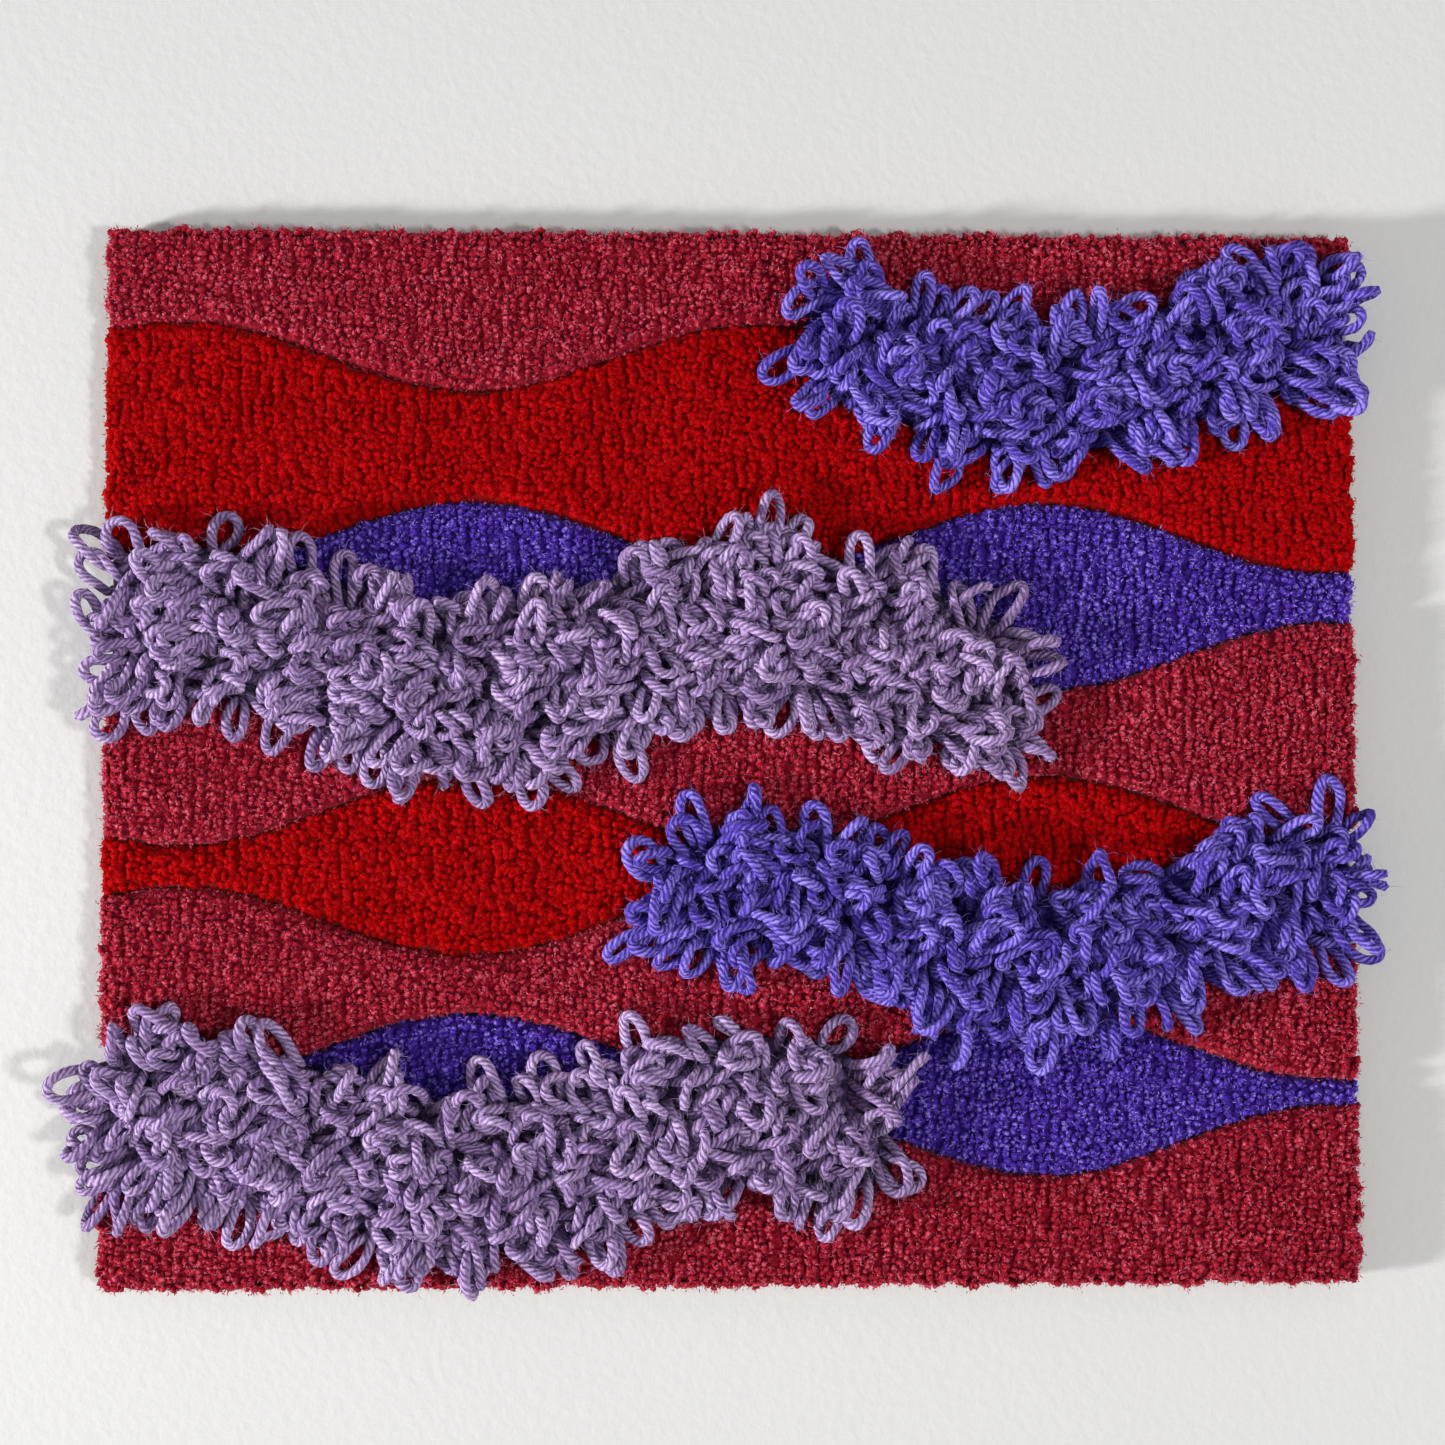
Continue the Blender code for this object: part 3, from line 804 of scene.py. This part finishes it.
def first_spines(foot, x, z, rng, seed):
    """The spines that a band's loops start from, and the loops' heights and widths. Loops at the
    border lean outwards, and those past the hanging's side edges are a little shorter."""
    count = len(x)
    push_x, push_z = border_push(foot, x, z)
    border = np.clip(np.hypot(push_x, push_z), 0, 1)
    angle = math.pi * 1.3 * smooth_field(seed, 0.034)(x, z) + rng.normal(0, 0.34, count)
    drift_x, drift_z = np.cos(angle) + 1.9 * push_x, np.sin(angle) + 1.9 * push_z - 0.25
    heading = steady(np.arctan2, drift_z, drift_x)
    swerve = rng.normal(0, 0.45, count)
    past_edge = np.maximum(nearness(x - RUG_LEFT, 0.008) * 1.1, nearness(RUG_RIGHT - x, 0.008) * 0.8)
    height = rng.normal(*LOOP_HEIGHT, count) * (1 - 0.12 * past_edge - 0.08 * border)
    width = rng.normal(*LOOP_WIDTH, count)
    first = np.radians(rng.normal(10, 9, count) + 18 * border)
    last = np.radians(rng.normal(84, 26, count) + 14 * border)
    return spines(heading, swerve, first, last), height, width


def first_shapes(foot, x, z, rng, seed):
    """Teardrop loops that rise from their roots and curl over, before they settle."""
    count = len(x)
    (spine, moves, across), height, width = first_spines(foot, x, z, rng, seed)
    twist = 0.80 * smooth_field(seed + 1, 0.030)(x, z) + rng.normal(0, 0.28, count)
    curl = rng.normal(0.0, 1.1, count)
    turn = np.linspace(0, 2 * math.pi, LOOP_POINTS)
    share = (1 - np.cos(turn)) / 2
    side = np.sin(turn) * (0.25 + 0.75 * steady(np.power, share, 0.8))
    at = share * SPINE_STEPS
    index = np.minimum(at.astype(int), SPINE_STEPS - 1)
    part = (at - index)[None, :, None]
    along = (spine[:, index] * (1 - part) + spine[:, index + 1] * part) * height[:, None, None]
    across = across[:, index]
    upright = np.cross(unit(moves[:, index]), across)
    roll = twist[:, None] + curl[:, None] * share
    flat = across * np.cos(roll)[..., None] + upright * np.sin(roll)[..., None]
    root = np.stack([x, np.full(count, -ROOT_DEPTH), z], 1)
    points = root[:, None] + along + flat * (side * width[:, None])[..., None]
    # The two legs leave the cloth side by side.
    split = np.linspace(1, -1, LOOP_POINTS) * np.clip(1 - share * 2.2, 0, 1)
    return points + flat[:, :1] * (split * LEG_SPLIT)[None, :, None]


def cut_tails(points, chosen):
    """The chosen loops become cut ends: one leg, stretched to the length of the loop's points."""
    for i in chosen:
        leg = points[i, : LOOP_POINTS // 2]
        path = np.linspace(0, len(leg) - 1, LOOP_POINTS)
        low = path.astype(int)
        high = np.minimum(low + 1, len(leg) - 1)
        part = (path - low)[:, None]
        points[i] = leg[low] * (1 - part) + leg[high] * part
    return points


class Ground:
    """Height map of what lies under the loops: the cut pile, the feet, and the wall past the edge."""

    STEP = 0.0015
    MARGIN = 0.02

    def __init__(self, feet):
        low, high = CAD_BOX
        self.x0, self.z0 = low.x - self.MARGIN, low.z - self.MARGIN
        self.nx = int((high.x - low.x + 2 * self.MARGIN) / self.STEP) + 2
        self.nz = int((high.z - low.z + 2 * self.MARGIN) / self.STEP) + 2
        self.xs = self.x0 + self.STEP * np.arange(self.nx)
        self.zs = self.z0 + self.STEP * np.arange(self.nz)
        self.heights = np.zeros((self.nx, self.nz))
        for name in nodes_of("pile"):
            self.raise_to(name)
        gx, gz = np.meshgrid(self.xs, self.zs, indexing="ij")
        for foot in feet:
            inside = (gx > foot.start) & (gx < foot.end)
            inside &= (gz > foot.bottom(gx)) & (gz < foot.top(gx))
            self.heights[inside] = FOOT_FRONT - YARN_RADIUS * 1.6

    def raise_to(self, name):
        """Raises the map to the front of a zone of cut pile."""
        low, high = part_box(name)
        ix = np.nonzero((self.xs >= low.x) & (self.xs <= high.x))[0]
        iz = np.nonzero((self.zs >= low.z) & (self.zs <= high.z))[0]
        gx, gz = np.meshgrid(ix, iz, indexing="ij")
        y, _ = fronts(tree_of(name), self.xs[gx.ravel()], self.zs[gz.ravel()])
        block = np.ix_(ix, iz)
        self.heights[block] = np.maximum(self.heights[block], np.nan_to_num(-y).reshape(gx.shape))

    def at(self, x, z):
        u = np.clip((x - self.x0) / self.STEP, 0, self.nx - 1.001)
        v = np.clip((z - self.z0) / self.STEP, 0, self.nz - 1.001)
        i, j = u.astype(int), v.astype(int)
        p, q = u - i, v - j
        h = self.heights
        lower = h[i, j] * (1 - p) + h[i + 1, j] * p
        upper = h[i, j + 1] * (1 - p) + h[i + 1, j + 1] * p
        return lower * (1 - q) + upper * q


def near_pairs(points, distance):
    """Pairs of points within this distance of each other, by sorting them into cells."""
    cell = np.floor((points - points.min(0)) / distance).astype(np.int64) + 1
    size = cell.max(0) + 2
    key = (cell[:, 0] * size[1] + cell[:, 1]) * size[2] + cell[:, 2]
    order = np.argsort(key, kind="stable")
    ordered = key[order]
    numbers = np.arange(len(points))
    firsts, seconds = [], []
    here = (0, 0, 0)
    for step in itertools.product((-1, 0, 1), repeat=3):
        if step < here:  # the same pairs as the opposite step's
            continue
        wanted = key + (step[0] * size[1] + step[1]) * size[2] + step[2]
        start = np.searchsorted(ordered, wanted, "left")
        count = np.searchsorted(ordered, wanted, "right") - start
        first = np.repeat(numbers, count)
        within = np.arange(count.sum()) - np.repeat(np.cumsum(count) - count, count)
        second = order[np.repeat(start, count) + within]
        once = first < second if step == here else slice(None)
        firsts.append(first[once])
        seconds.append(second[once])
    first, second = np.concatenate(firsts), np.concatenate(seconds)
    gap = points[first] - points[second]
    close = (gap * gap).sum(1) < distance * distance
    return first[close], second[close]


def contacts(points):
    """Pairs of points that may touch, but for neighbours along a yarn and pairs of roots."""
    count, size, _ = points.shape
    loop, place = np.divmod(np.arange(count * size), size)
    first, second = near_pairs(points.reshape(-1, 3), CONTACT * 1.35)
    same = (loop[first] == loop[second]) & (np.abs(place[first] - place[second]) < 4)
    root = (place == 0) | (place == size - 1)
    kept = ~(same | (root[first] & root[second]))
    return first[kept], second[kept]


def push_apart(points, first, second):
    """The points after yarns that touch have pushed each other aside."""
    flat = points.reshape(-1, 3)
    gap = flat[first] - flat[second]
    length = lengths(gap)
    push = gap * (np.maximum(CONTACT - length, 0) / length * 0.38)
    sums = [np.bincount(first, p, len(flat)) - np.bincount(second, p, len(flat)) for p in push.T]
    total = np.stack(sums, 1)
    norm = np.linalg.norm(total, axis=1, keepdims=True)
    total *= np.minimum(1, LARGEST_PUSH / np.maximum(norm, 1e-12))
    return (flat + total).reshape(points.shape)


def stay_round(points, segment):
    """Moves the points, in place, so that the yarn doesn't bend sharply."""
    bend = points[:, 2:] - points[:, :-2]
    length = lengths(bend)
    move = bend * (np.maximum(1.86 * segment - length, 0) / length * 0.25)
    points[:, 2:] += move
    points[:, :-2] -= move


def stay_open(points, left, right, openness):
    """Moves the two sides of each loop, in place, so that they stay this far apart."""
    gap = points[:, left] - points[:, right]
    length = lengths(gap)
    move = gap * np.maximum(openness - length, 0) / length * 0.3
    points[:, left] += move
    points[:, right] -= move


def keep_length(points, segment):
    """Moves the points, in place, back to this distance along the yarn."""
    for start in (0, 1):
        a, b = points[:, start:-1:2], points[:, start + 1 :: 2]
        gap = b - a
        length = lengths(gap)
        move = gap * ((length - segment) / length * 0.5)
        a += move
        b -= move


def stay_outside(points, ground):
    """Keeps the yarn, in place, on the ground and near the box of the solids."""
    low, high = CAD_BOX
    floor = -(ground.at(points[:, :, 0], points[:, :, 2]) + YARN_RADIUS * 0.9)
    points[:, 2:-2, 1] = np.minimum(points[:, 2:-2, 1], floor[:, 2:-2])
    points[:, :, 1] = np.maximum(points[:, :, 1], low.y - PAST_FRONT + YARN_RADIUS)
    points[:, :, 0] = np.clip(points[:, :, 0], low.x - PAST_SIDES, high.x + PAST_SIDES)


def settle(points, free_end, ground):
    """Lets the loops push one another aside, keep their length and rest on what is under them."""
    start = points.copy()
    size = points.shape[1]
    segment = np.linalg.norm(np.diff(points, axis=1), axis=2).mean(1)[:, None, None]
    left, right = slice(4, size // 2 - 1), slice(size - 5, size // 2, -1)
    openness = np.linalg.norm(points[:, left] - points[:, right], axis=2, keepdims=True) * 0.85
    openness[free_end] = 0
    for step in range(SETTLE_STEPS):
        points += (start - points) * (0.03 * (1 - step / SETTLE_STEPS))
        points += [0, SETTLE_SAG, -SETTLE_SAG]
        if step % 4 == 0:
            first, second = contacts(points)
        for _ in range(2):
            points = push_apart(points, first, second)
        stay_round(points, segment)
        stay_open(points, left, right, openness)
        for _ in range(3):
            keep_length(points, segment)
        stay_outside(points, ground)
        points[:, 0] = start[:, 0]
        points[~free_end, -1] = start[~free_end, -1]
    return points


def resampled(points, rings):
    """Smooth curves through the settled points, with more rings where a loop bends than in its legs."""
    points = points.copy()
    for _ in range(KINK_PASSES):
        points[:, 1:-1] = (points[:, :-2] + 2 * points[:, 1:-1] + points[:, 2:]) / 4
    size = points.shape[1]
    t = np.linspace(0, 1, rings)
    t = t - 0.06 * np.sin(4 * math.pi * t) / 2
    at = t * (size - 1)
    i = np.minimum(at.astype(int), size - 2)
    f = (at - i)[None, :, None]
    p0 = points[:, np.maximum(i - 1, 0)]
    p1 = points[:, i]
    p2 = points[:, i + 1]
    p3 = points[:, np.minimum(i + 2, size - 1)]
    return 0.5 * (
        2 * p1
        + (p2 - p0) * f
        + (2 * p0 - 5 * p1 + 4 * p2 - p3) * f ** 2
        + (3 * p1 - p0 - 3 * p2 + p3) * f ** 3
    )


def yarn_frames(points, rng):
    """Along each curve: its points, their directions, two directions across them, and the radius."""
    count, rings, _ = points.shape
    tangents = unit(np.gradient(points, axis=1))
    normal = np.zeros_like(points)
    normal[:, 0] = unit(np.cross(tangents[:, 0], rng.normal(size=(count, 3))))
    for k in range(1, rings):
        carried = normal[:, k - 1]
        carried = carried - (carried * tangents[:, k]).sum(1, keepdims=True) * tangents[:, k]
        normal[:, k] = unit(carried)
    radius = YARN_RADIUS * rng.normal(1.0, 0.05, (count, 1))
    radius = radius * (1 + 0.04 * rng.normal(size=(count, rings)))
    return points, tangents, normal, np.cross(tangents, normal), radius


def yarn_tubes(frames, tones, rng):
    """Lumpy round yarn along each curve: vertices, faces, UV maps, and each vertex's tone."""
    points, _, normal, binormal, radius = frames
    count, rings, _ = points.shape
    angles = 2 * math.pi * np.arange(YARN_SIDES) / YARN_SIDES
    lumps = radius[:, :, None, None] * (1 + 0.045 * rng.normal(size=(count, rings, YARN_SIDES, 1)))
    circle = np.cos(angles)[:, None] * normal[:, :, None]
    circle = circle + np.sin(angles)[:, None] * binormal[:, :, None]
    vertices = (points[:, :, None] + circle * lumps).reshape(-1, 3)
    base = (np.arange(count) * rings * YARN_SIDES)[:, None, None]
    near = base + (np.arange(rings - 1) * YARN_SIDES)[None, :, None]
    far = near + YARN_SIDES
    i = np.arange(YARN_SIDES)[None, None, :]
    j = (i + 1) % YARN_SIDES
    quads = np.stack([near + i, near + j, far + j, far + i], -1).reshape(-1, 4)
    first = (base[:, 0] + np.arange(YARN_SIDES)[::-1]).reshape(-1, YARN_SIDES)
    last = (base[:, 0] + (rings - 1) * YARN_SIDES + np.arange(YARN_SIDES)).reshape(-1, YARN_SIDES)
    steps = np.linalg.norm(np.diff(points, axis=1), axis=2)
    along = np.concatenate([np.zeros((count, 1)), np.cumsum(steps, 1)], 1) / PLY_PITCH
    along = along + rng.uniform(0, 1, (count, 1)) + tones[:, None] * 7
    turn = np.arange(YARN_SIDES + 1) / YARN_SIDES
    skin = rectangle(turn[:-1], turn[1:], along[:, :-1, None], along[:, 1:, None])
    ends = np.zeros((2 * count * YARN_SIDES, 2))
    cells = map_cells(count, 4.2)
    ring = np.linspace(0.01, 0.92, rings)[:, None]
    side = 0.03 + 0.94 * turn
    flat_skin = in_cells(cells, rectangle(side[:-1], side[1:], ring[:-1], ring[1:]))
    flat_ends = [in_cells(cells, polygon(YARN_SIDES, u, 0.965, 0.18, 0.025)) for u in (0.26, 0.74)]
    maps = {
        "yarn": np.concatenate([skin.reshape(-1, 2), ends]),
        "OFBake": np.concatenate([part.reshape(-1, 2) for part in (flat_skin, *flat_ends)]),
    }
    return vertices, [quads, first, last], maps, np.repeat(tones, rings * YARN_SIDES)


def yarn_fuzz(frames, rng):
    """Loose hairs that stand off the loops and bend."""
    points, tangents, normal, binormal, radius = frames
    count, rings, _ = points.shape
    loop = np.repeat(np.arange(count), LOOP_FUZZ)
    ring = rng.integers(4, rings - 4, len(loop))
    angle = rng.uniform(0, 2 * math.pi, len(loop))[:, None]
    out = np.cos(angle) * normal[loop, ring] + np.sin(angle) * binormal[loop, ring]
    start = points[loop, ring] + out * radius[loop, ring][:, None] * 0.9
    slant = tangents[loop, ring] * rng.normal(0, 1.1, (len(loop), 1))
    first = unit(out + slant + rng.normal(0, 0.3, out.shape))
    second = unit(first + rng.normal(0, 0.75, out.shape))
    length = rng.uniform(*HAIR_LENGTHS, (len(loop), 1))
    bend = start + first * length
    end = bend + second * length * rng.uniform(0.5, 1.2, length.shape)
    across = unit(np.cross(first, rng.normal(size=out.shape))) * HAIR_WIDTH / 2
    vertices = np.stack([start - across, start + across, bend + across, bend - across, end], 1)
    base = 5 * np.arange(len(loop))[:, None]
    cells = map_cells(len(loop), 1.0)
    lower = in_cells(cells, rectangle(0.15, 0.85, 0.05, 0.50))
    upper = in_cells(cells, np.array([[0.15, 0.50], [0.85, 0.50], [0.50, 0.95]]))
    maps = {"OFBake": np.concatenate([lower.reshape(-1, 2), upper.reshape(-1, 2)])}
    return vertices.reshape(-1, 3), [base + [0, 1, 2, 3], base + [3, 2, 4]], maps


def settled_loops(names):
    """All bands settle together, because their crowns lie on the same ground. Gives each band's
    curves, and the random numbers for what follows."""
    feet = [Foot(name) for name in names]
    ground = Ground(feet)
    shapes = []
    for k, foot in enumerate(feet):
        rng = np.random.default_rng(500 + k)
        x, z = loop_roots(foot, rng)
        shapes.append(first_shapes(foot, x, z, rng, 40 + 2 * k))
    points = np.concatenate(shapes)
    rng = np.random.default_rng(77)
    tails = rng.random(len(points)) < TAIL_SHARE
    points = cut_tails(points, np.nonzero(tails)[0])
    points = settle(points, tails, ground)
    print("loops:", len(points))
    return np.split(points, np.cumsum([len(shape) for shape in shapes])[:-1]), rng


def make_foot(node_name, material):
    """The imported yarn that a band's loops rise from: its solid, cut off at the front and the sides."""
    planes = [
        (Vector((0, -FOOT_FRONT, 0)), Vector((0, -1, 0))),
        (Vector((RUG_LEFT + FOOT_INSET, 0, 0)), Vector((-1, 0, 0))),
        (Vector((RUG_RIGHT - FOOT_INSET, 0, 0)), Vector((1, 0, 0))),
    ]
    return make_bed(node_name, node_name + "_foot", material, 0.0, planes)


def make_band(name, curves, materials, rng):
    """A band of loops: its yarn in a few meshes, its loose hairs and its foot."""
    yarn = name.split("_")[0]
    own = resampled(curves, TUBE_RINGS)
    tones = rng.random(len(own))
    frames = yarn_frames(own, rng)
    made = []
    parts = YARN_PIECES.get(name, USUAL_YARN_PIECES)
    for part in range(parts):
        chosen = [values[part::parts] for values in frames]
        vertices, faces, maps, tone = yarn_tubes(chosen, tones[part::parts], rng)
        # Painted shade: how strongly the yarn's colour is darkened near its roots, deep among the loops.
        root = np.clip(1 - (-vertices[:, 1] - ROOT_DEPTH) / PAINTED_ROOT_SHADE, 0, 1) * 0.8
        values = {"tone": tone, "root": root}
        part_name = f"{name}_yarn_{part + 1}"
        vertices = before_wall(vertices)
        made.append(mesh_piece(part_name, vertices, faces, materials[yarn], values, maps))
    vertices, faces, maps = yarn_fuzz(frames, rng)
    vertices = before_wall(vertices)
    made.append(mesh_piece(name + "_fuzz", vertices, faces, materials[yarn + "_fuzz"], maps=maps))
    made.append(make_foot(name, materials[yarn + "_foot"]))
    dress(name, yarn + "_loops", *made)


def make_loops():
    materials = {yarn: loop_material(yarn) for yarn in LOOP_YARNS}
    for yarn in LOOP_YARNS:
        painted_shade, middle, _ = LOOP_COLORS[yarn]
        materials[yarn + "_foot"] = packed_material(yarn + "_foot", painted_shade, middle)
    for yarn in LOOP_YARNS:
        materials[yarn + "_fuzz"] = fibre_material(yarn + "_fuzz", LOOP_COLORS[yarn][2])
    names = nodes_of("loops")
    bands, rng = settled_loops(names)
    for name, curves in zip(names, bands):
        make_band(name, curves, materials, rng)


# ==== backing cloth ====

def cloth_back(low, high):
    """Places on the back of the cloth, a little rippled and uneven along its cut edge."""
    us = np.linspace(low.x, high.x, CLOTH_FACES[0] + 1)
    vs = np.linspace(low.z, high.z, CLOTH_FACES[1] + 1)
    x, z = np.meshgrid(us, vs, indexing="ij")
    wobble = smooth_field(9, 0.05)
    edge_x = np.clip(1 - np.minimum(x - low.x, high.x - x) / 0.01, 0, 1)
    edge_z = np.clip(1 - np.minimum(z - low.z, high.z - z) / 0.01, 0, 1)
    x = x - np.sign(x) * edge_x * CLOTH_RAGGED * (1 + wobble(x, z))
    z = z - np.sign(z - (low.z + high.z) / 2) * edge_z * CLOTH_RAGGED * (1 + wobble(z, x))
    ripple = 0.00010 * smooth_field(10, 0.03)(x, z)
    return np.stack([x, np.full_like(x, high.y) + ripple - 0.0001, z], -1).reshape(-1, 3)


def cloth_faces():
    """Faces of the back, the front and the four sides of the cloth."""
    across, up = CLOTH_FACES
    columns = up + 1
    offset = (across + 1) * columns
    i, j = np.meshgrid(np.arange(across), np.arange(up), indexing="ij")
    a = (i * columns + j).ravel()
    quad = np.stack([a, a + columns, a + columns + 1, a + 1], 1)
    bottom = np.arange(across + 1) * columns
    left = np.arange(up + 1)

    def strip(line, flip):
        a, b = line[:-1], line[1:]
        face = np.stack([a, b, b + offset, a + offset], 1)
        return face[:, ::-1] if flip else face

    edges = [
        strip(bottom, False),
        strip(bottom + up, True),
        strip(left, True),
        strip(left + across * columns, False),
    ]
    return [quad[:, ::-1], quad + offset, *edges]


def make_backing_cloth():
    """The woven cloth that every tuft is stitched into."""
    low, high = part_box("backing_cloth")
    back = cloth_back(low, high)
    front = back - [0, (high.y - low.y) * 0.9, 0]
    places = np.concatenate([back, front])
    cloth = mesh_piece("backing_cloth_sheet", places, cloth_faces(), cloth_material())
    dress("backing_cloth", "backing_cloth", cloth)


# ==== camera, light and stage ====

LIGHT_AIM = (0, 0, -0.2)
FLOOR_LEVEL = -2.4


def make_camera():
    camera = bpy.data.objects.new("camera", bpy.data.cameras.new("camera"))
    bpy.context.scene.collection.objects.link(camera)
    distance = 0.78
    seen = 0.585  # width of the picture at the hanging
    aim = Vector((-0.0046, 0.0, -0.1935))
    azimuth, elevation = math.radians(-1.6), math.radians(-1.8)
    flat = math.cos(elevation)
    back = Vector((math.sin(azimuth) * flat, -math.cos(azimuth) * flat, math.sin(elevation)))
    camera.location = aim + back * distance
    camera.rotation_euler = (-back).to_track_quat("-Z", "Y").to_euler()
    camera.data.sensor_fit = "HORIZONTAL"
    camera.data.angle = 2 * math.atan(seen / 2 / distance)
    camera.data.clip_start = 0.01
    bpy.context.scene.camera = camera


def area_light(name, place, size, power, color=(1, 1, 1), spread=math.pi):
    data = bpy.data.lights.new(name, "AREA")
    data.size = size
    data.energy = power
    data.color = color
    data.spread = spread
    light = bpy.data.objects.new(name, data)
    light.location = place
    light.visible_camera = False
    light.rotation_euler = (Vector(LIGHT_AIM) - Vector(place)).to_track_quat("-Z", "Y").to_euler()
    bpy.context.scene.collection.objects.link(light)


def make_lights():
    """A low light from the left that skims the pile, one from the right in front, a weak one from
    behind for the back, and an even surround."""
    area_light("skim", (-2.5, -0.84, -0.80), 0.24, 19.8, (1.0, 0.99, 0.97), math.radians(80))
    area_light("key", (2.0, -2.5, -0.95), 0.33, 52, (1.0, 0.985, 0.96))
    area_light("back_fill", (0.9, 1.8, 0.8), 1.6, 26)
    world = bpy.data.worlds.new("studio")
    world.use_nodes = True
    background = world.node_tree.nodes["Background"]
    background.inputs[0].default_value = (0.86, 0.87, 0.88, 1)
    background.inputs[1].default_value = 0.50
    bpy.context.scene.world = world


def plane(name, corners, material):
    piece = mesh_piece(name, np.array(corners), [np.array([[0, 1, 2, 3]])], material)
    return piece


def wall_material():
    """Smooth paint with a fine grain, which is clear from behind."""
    paint = Nodes("wall_paint", roughness=0.9)
    grain = paint.noise(paint.place(), 260, detail=4)
    paint.color((0.628, 0.628, 0.621, 1))
    paint.bump(grain, distance=0.00025)
    mixer = paint.add("ShaderNodeMixShader")
    clear = paint.add("ShaderNodeBsdfTransparent")
    behind = paint.add("ShaderNodeNewGeometry").outputs["Backfacing"]
    paint.feed(mixer.inputs[0], behind)
    paint.feed(mixer.inputs[1], paint.shader.outputs[0])
    paint.feed(mixer.inputs[2], clear.outputs[0])
    paint.feed(paint.tree.nodes["Material Output"].inputs[0], mixer.outputs[0])
    return paint.material


def make_stage():
    """A pale floor, and a pale wall that is there only for what is seen from the front."""
    floor_paint = Nodes("floor_paint", roughness=0.9)
    floor_paint.color((0.74, 0.73, 0.71, 1))
    z = FLOOR_LEVEL
    plane("floor", [(-4, -4, z), (4, -4, z), (4, 4, z), (-4, 4, z)], floor_paint.material)
    y, top = 0.0012, 2.2
    corners = [(-3, y, z), (3, y, z), (3, y, top), (-3, y, top)]
    wall = plane("wall", corners, wall_material())
    wall.visible_diffuse = False
    wall.visible_glossy = False
    wall.visible_transmission = False
    wall.visible_shadow = False


make_camera()
make_lights()
make_stage()
make_backing_cloth()
make_cut_pile()
make_loops()
bpy.context.scene.view_settings.view_transform = "Standard"
